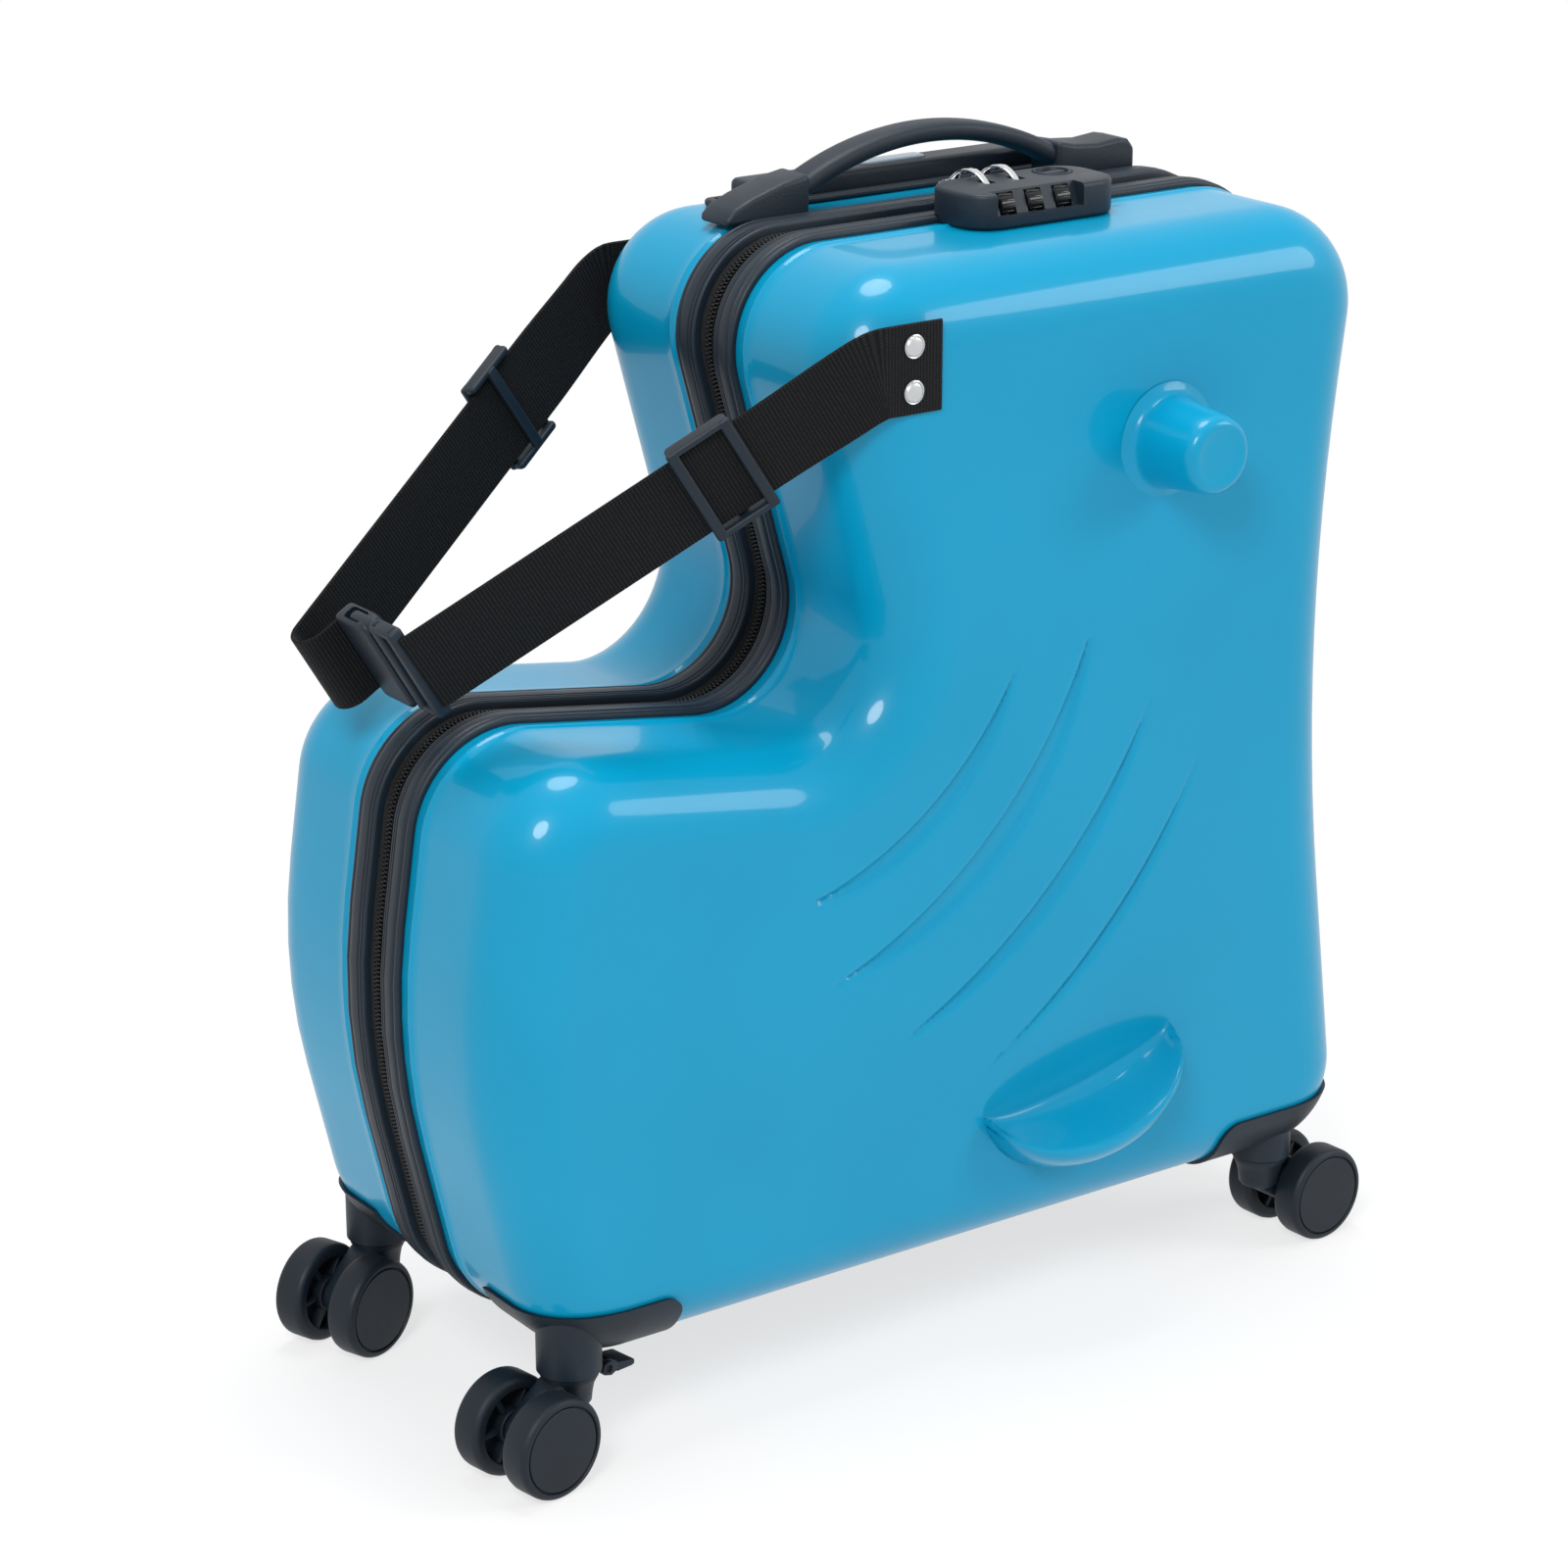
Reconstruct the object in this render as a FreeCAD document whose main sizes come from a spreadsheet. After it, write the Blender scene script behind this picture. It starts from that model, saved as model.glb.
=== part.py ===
"""Ride-on suitcase: an L-shaped two-shell case with a seat, hand knobs, belt, trolley and four casters.

Millimetres. +X is the riding direction, +Z is up, the seam between the two shells is the plane Y = 0.
The right shell (negative Y) is the lid; it swings on a tape hinge at the front end of the case.
"""
import FreeCAD, Part
import math
import os

import Sketcher

V = FreeCAD.Vector

# Driving dimensions: alias, value, what it is
SIZES = [
    # Case outline at the seam, seen from the right side
    ("top_z", 493.5, "top of the shells"),
    ("bottom_z", 48.0, "underside of the shells"),
    ("top_rear_x", -71.5, "corner of top and backrest"),
    ("top_rear_r", 42.0, "its radius"),
    ("knee_x", -14.5, "corner of backrest and seat"),
    ("knee_z", 287.0, "height of that corner"),
    ("knee_r", 44.0, "its radius"),
    ("seat_rear_x", -212.0, "corner of seat and tail"),
    ("seat_rear_z", 316.5, "height of that corner"),
    ("seat_rear_r", 45.0, "its radius"),
    ("tail_x", -232.0, "crown of the bulged tail"),
    ("tail_z", 183.0, "height of that crown"),
    ("tail_r", 260.0, "radius of the bulge"),
    ("bottom_rear_x", -200.5, "corner of tail and underside"),
    ("bottom_rear_r", 48.0, "its radius"),
    ("bottom_front_x", 243.0, "corner of underside and front end"),
    ("bottom_front_r", 40.0, "its radius"),
    ("waist_x", 210.5, "waist of the front end"),
    ("waist_z", 300.0, "height of the waist"),
    ("waist_r", 900.0, "radius of the waist"),
    ("top_front_x", 236.0, "corner of front end and top"),
    ("top_front_r", 45.0, "its radius"),
    # Shells
    ("half_depth", 100.0, "seam plane to outer panel"),
    ("wall", 2.5, "shell sheet"),
    ("edge_round", 32.0, "round between rim wall and panel"),
    ("mouth", 9.0, "seam plane to the shell's edge"),
    ("seat_gap", 0.2, "gap between pieces that are seated on each other"),
    ("knob_x", 110.0, "hand knob axis"),
    ("knob_z", 406.0, "hand knob axis height"),
    ("knob_reach", 36.0, "knob length outside the panel"),
    ("knob_flare", 25.0, "knob radius at its foot"),
    ("knob_tip", 16.5, "knob radius at its tip"),
    ("knob_round", 5.0, "round of the knob's tip"),
    ("foot_x", 69.0, "middle of the footrest"),
    ("foot_z", 126.0, "height of its tread"),
    ("foot_half", 52.0, "half length of the tread"),
    ("foot_reach", 30.0, "tread width outside the panel"),
    ("foot_drop", 46.0, "height of the footrest under its tread"),
    ("foot_tilt", 9.5, "tread slope in degrees"),
    ("relief", 1.2, "depth of the moulded grooves"),
    ("ripple_x", -78.0, "centre of the ripple grooves"),
    ("ripple_z", 345.0, "height of that centre"),
    ("ripple_near", 150.0, "radius of the first ripple"),
    ("ripple_far", 190.0, "radius of the second ripple"),
    ("ripple_flat", 1.45, "inner arc of a ripple as a multiple of its outer arc"),
    # Rim trim and zip
    ("trim_proud", 3.2, "trim height above the shell"),
    ("trim_edge", 21.0, "seam plane to the trim's outer edge"),
    ("trim_inner", 7.0, "seam plane to the trim's inner edge"),
    ("trim_web", 6.6, "depth of the trim web behind the shell's edge"),
    ("tape_depth", 2.4, "zip tape underside below the shell's outline"),
    ("tape_sheet", 1.2, "zip tape thickness"),
    ("coil_half", 2.6, "half width of the zip coil"),
    ("coil_high", 1.4, "zip coil height on the tape"),
    ("zip_gap", 0.25, "half gap between the two zip tapes"),
    ("hinge_x", 246.0, "lid hinge axis"),
    ("hinge_low", 150.0, "lower end of the hinge tape"),
    ("hinge_high", 420.0, "upper end of the hinge tape"),
    ("hinge_sheet", 1.4, "hinge tape thickness"),
    # Lining and packing straps
    ("lining_gap", 3.4, "air between shell and lining"),
    ("lining_sheet", 1.0, "lining thickness"),
    ("tunnel_side", 2.0, "trolley tunnel beside the bezel"),
    ("strap_wide", 25.0, "packing strap width"),
    ("strap_sheet", 1.2, "packing strap thickness"),
    ("strap_long", 260.0, "packing strap length"),
    ("strap_z", 210.0, "height of the straps' crossing"),
    ("strap_lean", 32.0, "lean of each packing strap in degrees"),
    # Lock
    ("top_mid_x", 78.0, "middle of handle and trolley on the top"),
    ("lock_x", 80.0, "middle of the lock"),
    ("lock_long", 80.0, "lock length"),
    ("lock_front", 48.0, "seam plane to the lock's front"),
    ("lock_back", 8.0, "seam plane to the lock's back"),
    ("lock_high", 15.5, "lock height on the shell"),
    ("lock_round", 12.0, "round of the lock's corners"),
    ("dial_pitch", 15.0, "spacing of the dials"),
    ("dial_radius", 6.8, "dial radius"),
    ("dial_wide", 8.0, "dial width"),
    ("dial_y", 41.5, "seam plane to the dial axis"),
    ("dial_sink", 6.0, "dial axis below the lock's top"),
    ("spindle_radius", 1.5, "dial spindle radius"),
    ("spindle_long", 52.0, "dial spindle length"),
    ("running_fit", 0.08, "radial clearance of a turning fit"),
    ("side_gap", 0.5, "clearance beside a moving piece"),
    ("key_x", 108.0, "key cylinder axis"),
    ("key_y", 21.0, "seam plane to the key cylinder axis"),
    ("key_radius", 8.5, "key cylinder radius"),
    ("key_deep", 9.0, "key cylinder length in the lock"),
    ("key_proud", 0.8, "key cylinder above the lock's top"),
    # Zip sliders and pulls
    ("slider_one_x", 70.0, "first zip slider"),
    ("slider_two_x", 86.0, "second zip slider"),
    ("slider_long", 12.0, "slider length"),
    ("slider_half", 5.5, "half width of a slider"),
    ("slider_high", 5.5, "slider height"),
    ("pull_wide", 4.5, "zip pull width"),
    ("pull_sheet", 1.6, "zip pull thickness"),
    ("pull_eye", 3.2, "radius of the pull's eye"),
    ("pull_pin", 1.2, "slider pin radius"),
    ("pull_rise", 3.6, "pin above the slider"),
    ("pull_reach", 28.0, "pin to pull tip along Y"),
    ("pull_arch", 10.5, "rise of the pull's arch over its ends"),
    # Carry handle
    ("handle_y", 31.8, "seam plane to the carry handle"),
    ("handle_half", 112.0, "half span over the mounts"),
    ("mount_long", 44.0, "handle mount length"),
    ("mount_wide", 21.0, "handle mount width"),
    ("mount_high", 19.0, "handle mount height at the grip"),
    ("mount_low", 8.5, "handle mount height at its far end"),
    ("mount_round", 2.0, "round of the mount's upper edges"),
    ("grip_wide", 17.0, "carry grip width"),
    ("grip_thick", 9.0, "carry grip thickness"),
    ("grip_round", 3.4, "round of the carry grip's edges"),
    ("grip_rise", 33.0, "top of the carry grip above the shell"),
    ("grip_radius", 146.0, "radius of the carry grip's arch"),
    ("grip_tuck", 8.0, "length of grip inside each mount"),
    # Trolley
    ("trolley_y", 56.0, "seam plane to the trolley"),
    ("bezel_long", 186.0, "bezel length"),
    ("bezel_wide", 26.0, "bezel width"),
    ("bezel_lip", 3.5, "bezel height on the shell"),
    ("bezel_wall", 3.0, "bezel wall"),
    ("bezel_deep", 16.0, "bezel depth in the shell"),
    ("bezel_floor", 4.0, "bezel floor"),
    ("tube_half", 62.0, "half spacing of the trolley tubes"),
    ("tube_wide", 20.0, "outer tube width"),
    ("tube_thick", 13.0, "outer tube depth"),
    ("tube_wall", 1.2, "tube wall"),
    ("tube_gap", 0.3, "clearance between two tubes"),
    ("tube_round", 4.6, "outer tube corner radius"),
    ("tube_low", 66.0, "lower end of the outer tubes"),
    ("tube_step", 6.0, "each inner tube stands higher by this"),
    ("foot_seat", 8.0, "length of outer tube inside the trolley foot"),
    ("foot_wall", 3.5, "trolley foot's wall round the tubes"),
    ("trolley_grip_long", 164.0, "trolley grip length"),
    ("trolley_grip_wide", 17.0, "trolley grip width"),
    ("trolley_grip_high", 16.0, "trolley grip height"),
    ("trolley_grip_top", 16.0, "grip top above the shell"),
    ("grip_socket", 8.0, "length of inner tube inside the grip"),
    ("button_long", 34.0, "release button length"),
    ("button_wide", 9.0, "release button width"),
    ("button_deep", 7.0, "release button depth in the grip"),
    ("button_proud", 1.2, "release button above the grip"),
    # Seat belt
    ("belt_wide", 38.0, "webbing width"),
    ("belt_sheet", 1.6, "webbing thickness"),
    ("patch_front_x", -12.0, "front end of the riveted patch"),
    ("patch_long", 33.0, "length of the riveted patch"),
    ("patch_z", 456.0, "height of the patch"),
    ("rivet_x", -26.5, "rivet axis"),
    ("rivet_pitch", 19.0, "spacing of the rivets"),
    ("rivet_head", 5.0, "rivet head radius"),
    ("rivet_shank", 2.0, "rivet shank radius"),
    ("rivet_high", 1.8, "rivet head height"),
    ("rivet_set", 2.1, "inner rivet head below the panel's sheet, clear of its rounded edge"),
    ("rivet_back", 3.2, "inner rivet head radius"),
    ("buckle_x", -217.0, "buckle axis"),
    ("buckle_z", 342.0, "buckle height"),
    ("buckle_near", 27.0, "plug end right of the seam plane"),
    ("buckle_far", 17.0, "socket end left of the seam plane"),
    ("buckle_wide", 46.0, "buckle width"),
    ("buckle_thick", 10.0, "buckle thickness"),
    ("belt_lean", 31.0, "lean of the webbing's width at the buckle in degrees"),
    ("belt_turn", 9.0, "radius of the webbing's turn behind the buckle"),
    ("belt_tail", 12.0, "straight webbing between buckle and turn"),
    ("belt_bend", 14.0, "length over which the webbing turns off its patch"),
    ("buckle_neck", 9.0, "plug base end right of the seam plane"),
    ("slider_at", 0.34, "place of the belt slider along the free webbing"),
    ("glide_long", 30.0, "belt slider length"),
    ("glide_wide", 50.0, "belt slider width"),
    ("glide_thick", 2.6, "belt slider frame thickness"),
    ("glide_bar", 5.0, "belt slider bar width"),
    # Casters
    ("stem_rear_x", -186.0, "rear swivel axis"),
    ("stem_front_x", 198.0, "front swivel axis"),
    ("stem_y", 80.0, "seam plane to the swivel axes"),
    ("wheel_radius", 22.5, "wheel radius"),
    ("wheel_wide", 15.0, "wheel width"),
    ("wheel_round", 4.5, "round of the tread's edges"),
    ("wheel_rim", 17.0, "inner radius of the tyre"),
    ("wheel_hub", 8.0, "hub radius"),
    ("wheel_dish", 6.0, "depth of the dish on the inner side"),
    ("wheel_gap", 0.6, "clearance between wheel and fork"),
    ("trail", 24.0, "swivel axis to axle"),
    ("fork_wide", 14.0, "fork width between the wheels"),
    ("fork_top", 44.0, "top of the fork"),
    ("fork_radius", 12.5, "radius of the fork's head"),
    ("fork_cap", 2.8, "thickness of the fork's head plate"),
    ("fork_skirt", 30.0, "lower edge of the fork's skirt"),
    ("axle_boss", 8.0, "radius of the fork round the axle"),
    ("axle_radius", 3.0, "axle radius"),
    ("axle_cover", 3.0, "wheel thickness outside the axle"),
    ("pin_radius", 5.0, "swivel pin radius"),
    ("pin_long", 3.8, "swivel pin length"),
    ("bracket_skin", 2.0, "corner bracket thickness"),
    ("bracket_top", 74.0, "upper edge of the corner brackets"),
    ("bracket_inner", 46.0, "seam plane to the brackets' inner edge"),
    ("bracket_rear_end", -141.0, "inner end of a rear bracket"),
    ("bracket_front_end", 157.0, "inner end of a front bracket"),
    ("bracket_round", 10.0, "round of the bracket's end"),
    ("boss_radius", 14.0, "radius of the swivel boss"),
    ("brake_x", 16.5, "swivel axis to brake pivot"),
    ("brake_z", 40.0, "height of the brake pivot"),
    ("brake_eye", 3.6, "radius of the brake's eye"),
    ("brake_pin", 1.8, "brake pin radius"),
    ("brake_long", 15.0, "pivot to the end of the brake pedal"),
    ("brake_wide", 14.0, "brake pedal width"),
    ("brake_ear", 6.0, "width of the ear that carries the brake"),
    ("brake_sheet", 3.0, "brake pedal thickness"),
]

# Caster name: swivel axis alias, side (+1 is left), heading of the trail in degrees, has a brake
CASTERS = {
    "rear_right": ("stem_rear_x", -1, 190.0, True),
    "rear_left": ("stem_rear_x", 1, 200.0, True),
    "front_right": ("stem_front_x", -1, 4.0, False),
    "front_left": ("stem_front_x", 1, 172.0, False),
}
SIDES = {"right": -1, "left": 1}
TURN_STEPS = 6

doc = FreeCAD.newDocument("ride_on_suitcase")
sheet = doc.addObject("Spreadsheet::Sheet", "Sizes")
nodes = []


def fill_sheet():
    """Write every driving dimension to the sheet as a plain number with an alias."""
    for row, (alias, number, note) in enumerate(SIZES, start=1):
        sheet.set(f"A{row}", note)
        sheet.set(f"B{row}", str(number))
        sheet.setAlias(f"B{row}", alias)
    doc.recompute()


def expr(text):
    """Turn 'a + 2*b' into an expression on the sheet's cells."""
    for alias, _, _ in sorted(SIZES, key=lambda item: -len(item[0])):
        text = replace_word(text, alias)
    return text


def replace_word(text, alias):
    """Put the sheet's name before one alias where it stands as a whole word."""
    out = []
    word = ""
    for char in text + " ":
        if char.isalnum() or char in "_.":
            word += char
            continue
        out.append("Sizes." + word if word == alias else word)
        out.append(char)
        word = ""
    return "".join(out).strip()


def value(text):
    """The number that an expression gives now."""
    return float(sheet.evalExpression(expr(text)))


def bind(thing, **formulas):
    """Bind properties to expressions; a double underscore stands for a dot."""
    for name, text in formulas.items():
        thing.setExpression(name.replace("__", "."), expr(text))
    return thing


def keep(thing):
    """List a finished sub-part as a node."""
    nodes.append(thing)
    return thing


def face_at(shape, axis, position):
    """Name of the largest flat face that is square to an axis at a position."""
    best = None
    for index, face in enumerate(shape.Faces, start=1):
        flat = face.Surface.TypeId == "Part::GeomPlane"
        if flat and abs(abs(face.normalAt(0, 0)[axis]) - 1) < 1e-6:
            if abs(face.CenterOfMass[axis] - position) < 1e-4:
                if best is None or face.Area > best[0]:
                    best = (face.Area, f"Face{index}")
    return best[1]


# Sketch and feature helpers


def plane_of(body, role):
    return next(item for item in body.Origin.OriginFeatures if item.Role == role)


def new_body(label):
    body = doc.addObject("PartDesign::Body", label)
    body.Label = label
    return body


def new_sketch(body, role, shift=("0", "0", "0")):
    """A sketch on an origin plane, moved by three expressions in the plane's own axes."""
    sketch = body.newObject("Sketcher::SketchObject", body.Name + "_sketch")
    sketch.AttachmentSupport = [(plane_of(body, role), "")]
    sketch.MapMode = "FlatFace"
    for axis, text in zip("xyz", shift):
        if text != "0":
            sketch.setExpression(f"AttachmentOffset.Base.{axis}", expr(text))
    return sketch


def hold(sketch, kind, place, text):
    """A dimension bound to an expression."""
    index = sketch.addConstraint(Sketcher.Constraint(kind, *place, value(text)))
    sketch.setExpression(f"Constraints[{index}]", expr(text))


def pin_point(sketch, geometry, end, x, y):
    """Fix one point of a sketch at two expressions from the sketch's origin."""
    hold(sketch, "DistanceX", (-1, 1, geometry, end), x)
    hold(sketch, "DistanceY", (-1, 1, geometry, end), y)


def circle(sketch, x, y, radius):
    geometry = sketch.addGeometry(Part.Circle(V(value(x), value(y), 0), V(0, 0, 1), value(radius)))
    pin_point(sketch, geometry, 3, x, y)
    hold(sketch, "Radius", (geometry,), radius)


def corner_arc(before, at, after, radius):
    """Arc that rounds a corner: the arc, its first and last point, and whether it turns left."""
    first = (at - before).normalize()
    second = (after - at).normalize()
    cross = first.x * second.y - first.y * second.x
    turn = math.atan2(cross, first.dot(second))
    length = radius * math.tan(abs(turn) / 2)
    start = at - first * length
    end = at + second * length
    left = turn > 0
    normal = V(-first.y, first.x, 0) * (radius if left else -radius)
    centre = start + normal
    angles = [math.atan2((p - centre).y, (p - centre).x) for p in (start, end)]
    if not left:
        angles.reverse()
    arc = Part.ArcOfCircle(Part.Circle(centre, V(0, 0, 1), radius), *angles)
    return arc, start, end, left


def outline(sketch, corners):
    """A closed outline of lines; a corner (x, y, radius) is rounded, a corner (x, y) is sharp."""
    points = [V(value(corner[0]), value(corner[1]), 0) for corner in corners]
    count = len(corners)
    entries = []
    for index, corner in enumerate(corners):
        around = (points[index - 1], points[index], points[(index + 1) % count])
        rounded = len(corner) == 3
        entries.append(corner_arc(*around, value(corner[2])) if rounded else (None, around[1], around[1], True))
    lines = []
    for index in range(count):
        segment = Part.LineSegment(entries[index][2], entries[(index + 1) % count][1])
        lines.append(sketch.addGeometry(segment))
    for index, corner in enumerate(corners):
        arc, _, _, left = entries[index]
        before, after = lines[index - 1], lines[index]
        if arc is None:
            sketch.addConstraint(Sketcher.Constraint("Coincident", before, 2, after, 1))
            pin_point(sketch, after, 1, corner[0], corner[1])
            continue
        bend = sketch.addGeometry(arc)
        mark = sketch.addGeometry(Part.Point(points[index]), True)
        sketch.addConstraint(Sketcher.Constraint("Tangent", before, 2, bend, 1 if left else 2))
        sketch.addConstraint(Sketcher.Constraint("Tangent", after, 1, bend, 2 if left else 1))
        sketch.addConstraint(Sketcher.Constraint("PointOnObject", mark, 1, before))
        sketch.addConstraint(Sketcher.Constraint("PointOnObject", mark, 1, after))
        pin_point(sketch, mark, 1, corner[0], corner[1])
        hold(sketch, "Radius", (bend,), corner[2])


def rectangle(sketch, x_low, x_high, y_low, y_high, radius=None):
    corners = [(x_low, y_low), (x_high, y_low), (x_high, y_high), (x_low, y_high)]
    outline(sketch, [corner + (radius,) if radius else corner for corner in corners])


def crescent(sketch, start, end, outer, inner):
    """A slim crescent between two points, bounded by two arcs of different radius."""
    first, last = (V(value(p[0]), value(p[1]), 0) for p in (start, end))
    middle = (first + last) * 0.5
    half = (last - first).Length / 2
    across = V(-(last - first).y, (last - first).x, 0).normalize()
    arcs = []
    for text in (outer, inner):
        radius = value(text)
        sag = radius - math.sqrt(radius**2 - half**2)
        edge = Part.Arc(first, middle + across * sag, last).toShape().Curve
        circle_shape = Part.Circle(edge.Center, V(0, 0, 1), radius)
        angles = [math.atan2((p - edge.Center).y, (p - edge.Center).x) for p in (last, first)]
        arcs.append(sketch.addGeometry(Part.ArcOfCircle(circle_shape, *angles)))
        hold(sketch, "Radius", (arcs[-1],), text)
    sketch.addConstraint(Sketcher.Constraint("Coincident", arcs[0], 1, arcs[1], 1))
    sketch.addConstraint(Sketcher.Constraint("Coincident", arcs[0], 2, arcs[1], 2))
    pin_point(sketch, arcs[0], 2, *start)
    pin_point(sketch, arcs[0], 1, *end)


def extrude(kind, body, sketch, length, backward=False):
    feature = body.newObject("PartDesign::" + kind, body.Name + "_" + kind.lower())
    feature.Profile = sketch
    feature.Reversed = backward
    bind(feature, Length=length)
    sketch.Visibility = False
    return feature


def pad(body, sketch, length, backward=False):
    return extrude("Pad", body, sketch, length, backward)


def pocket(body, sketch, length, backward=False):
    """Cut a sketch into a body and make sure that the cut removes material."""
    doc.recompute()
    before = body.Shape.Volume
    feature = extrude("Pocket", body, sketch, length, backward)
    doc.recompute()
    if body.Shape.Volume > before - 1e-3:
        raise RuntimeError(f"{feature.Name} in {body.Label} cuts nothing")
    return feature


def revolve(body, sketch, axis="V_Axis"):
    feature = body.newObject("PartDesign::Revolution", body.Name + "_revolution")
    feature.Profile = sketch
    feature.ReferenceAxis = (sketch, [axis])
    feature.Angle = 360
    return feature


def box_body(label, x, y, z):
    """A plain block between three pairs of expressions."""
    body = new_body(label)
    sketch = new_sketch(body, "XY_Plane", ("0", "0", z[0]))
    rectangle(sketch, x[0], x[1], y[0], y[1])
    pad(body, sketch, f"({z[1]}) - ({z[0]})")
    return body


def boolean(kind, label, base, tool):
    thing = doc.addObject("Part::" + kind, label)
    thing.Base = base
    thing.Tool = tool
    return thing


def group(label, members):
    thing = doc.addObject("Part::Compound", label)
    thing.Links = members
    return thing


def mirrored(label, source):
    """A copy of a right-hand piece on the left side of the seam plane."""
    thing = doc.addObject("Part::Mirroring", label)
    thing.Source = source
    thing.Normal = V(0, 1, 0)
    return thing


# Case


CASE_CORNERS = [
    ("bottom_front_x", "bottom_z", "bottom_front_r"),
    ("waist_x", "waist_z", "waist_r"),
    ("top_front_x", "top_z", "top_front_r"),
    ("top_rear_x", "top_z", "top_rear_r"),
    ("knee_x", "knee_z", "knee_r"),
    ("seat_rear_x", "seat_rear_z", "seat_rear_r"),
    ("tail_x", "tail_z", "tail_r"),
    ("bottom_rear_x", "bottom_z", "bottom_rear_r"),
]


def case_outline():
    """The outline of the case at the seam, on the plane Y = 0."""
    body = new_body("case_outline_body")
    sketch = new_sketch(body, "XZ_Plane")
    outline(sketch, CASE_CORNERS)
    doc.recompute()
    return sketch


def slab(name, source, grow, start, end, side):
    """The outline grown by an expression and extruded between two distances from the seam plane."""
    if grow != "0":
        offset = doc.addObject("Part::Offset2D", name + "_offset")
        offset.Source = source
        offset.Join = "Arc"
        bind(offset, Value=grow)
        source = offset
    solid = doc.addObject("Part::Extrusion", name + "_slab")
    solid.Base = source
    solid.DirMode = "Custom"
    solid.Dir = V(0, side, 0)
    solid.Solid = True
    bind(solid, LengthFwd=end, LengthRev=f"-({start})")
    return solid


def ring(name, source, inner, outer, start, end, side):
    """A band that follows the case outline between two offsets from it."""
    outside = slab(name + "_outer", source, outer, start, end, side)
    inside = slab(name + "_inner", source, inner, start, end, side)
    return boolean("Cut", name + "_ring", outside, inside)


def rounded_slab(name, source, grow, start, end, side, radius):
    """A slab whose outer panel has rounded edges."""
    solid = slab(name, source, grow, start, end, side)
    doc.recompute()
    panel = solid.Shape.getElement(face_at(solid.Shape, 1, side * value(end)))
    edges = [i for i, edge in enumerate(solid.Shape.Edges, start=1) if any(edge.isSame(e) for e in panel.Edges)]
    fillet = doc.addObject("Part::Fillet", name + "_round")
    fillet.Base = solid
    fillet.Edges = [(i, value(radius), value(radius)) for i in edges]
    return fillet


def shell_tray(body, side):
    """The bare half shell: outline, rounded panel edge, hollowed from the seam."""
    sketch = new_sketch(body, "XZ_Plane", ("0", "0", f"{-side}*mouth"))
    outline(sketch, CASE_CORNERS)
    block = pad(body, sketch, "half_depth - mouth", backward=side > 0)
    doc.recompute()
    fillet = body.newObject("PartDesign::Fillet", body.Name + "_round")
    fillet.Base = (block, [face_at(block.Shape, 1, side * value("half_depth"))])
    bind(fillet, Radius="edge_round")
    doc.recompute()
    hollow = body.newObject("PartDesign::Thickness", body.Name + "_hollow")
    hollow.Base = (fillet, [face_at(fillet.Shape, 1, side * value("mouth"))])
    hollow.Reversed = True
    bind(hollow, Value="wall")
    doc.recompute()


def shell_knob(body, side):
    """The moulded hand knob: a flared foot, a slim taper and a rounded tip."""
    sketch = new_sketch(body, "XY_Plane", ("knob_x", "0", "knob_z"))
    root = f"{side}*(half_depth - wall/2)"
    panel = f"{side}*half_depth"
    tip = f"{side}*(half_depth + knob_reach)"
    corners = [
        ("0", root),
        ("knob_flare", root),
        ("knob_flare", panel),
        ("knob_tip + 2.5", f"{side}*(half_depth + 5)", "6"),
        ("knob_tip", tip, "knob_round"),
        ("0", tip),
    ]
    outline(sketch, corners)
    body.Tip = revolve(body, sketch)


def shell_footrest(body, side):
    """The moulded half-moon footrest: a quarter of an ellipsoid under a sloping tread."""
    rest = body.newObject("PartDesign::AdditiveEllipsoid", body.Name + "_footrest")
    rest.AttachmentSupport = [(plane_of(body, "XY_Plane"), "")]
    rest.MapMode = "FlatFace"
    rest.Angle1 = -90
    rest.Angle2 = 0
    rest.Angle3 = 180
    turn = FreeCAD.Rotation(V(0, 1, 0), -value("foot_tilt"))
    if side < 0:
        turn = turn.multiply(FreeCAD.Rotation(V(0, 0, 1), 180))
    rest.AttachmentOffset = FreeCAD.Placement(V(0, 0, 0), turn)
    bind(rest, Radius1="foot_drop", Radius2="foot_half", Radius3="foot_reach + wall/2")
    place = {"x": "foot_x", "y": f"{side}*(half_depth - wall/2)", "z": "foot_z"}
    for axis, text in place.items():
        rest.setExpression(f"AttachmentOffset.Base.{axis}", expr(text))
    body.Tip = rest


def shell_holes(body, side):
    """Rivet holes for the belt and, on the left, the trolley's opening in the top."""
    sketch = new_sketch(body, "XZ_Plane", ("0", "0", f"{-side}*(half_depth + 1)"))
    for end in ("-", "+"):
        circle(sketch, "rivet_x", f"patch_z {end} rivet_pitch/2", "rivet_shank + running_fit")
    pocket(body, sketch, "wall + rivet_set + 2", backward=side > 0)
    if side > 0:
        top = new_sketch(body, "XY_Plane", ("0", "0", "top_z + 1"))
        bezel_plan(top, "-bezel_wall + seat_gap")
        pocket(body, top, "wall + 2")


def bezel_plan(sketch, grow):
    """The trolley bezel's outline seen from above, grown by an expression."""
    long = f"(bezel_long/2 + {grow})"
    wide = f"(bezel_wide/2 + {grow})"
    rectangle(
        sketch, f"top_mid_x - {long}", f"top_mid_x + {long}", f"trolley_y - {wide}", f"trolley_y + {wide}"
    )


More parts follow.
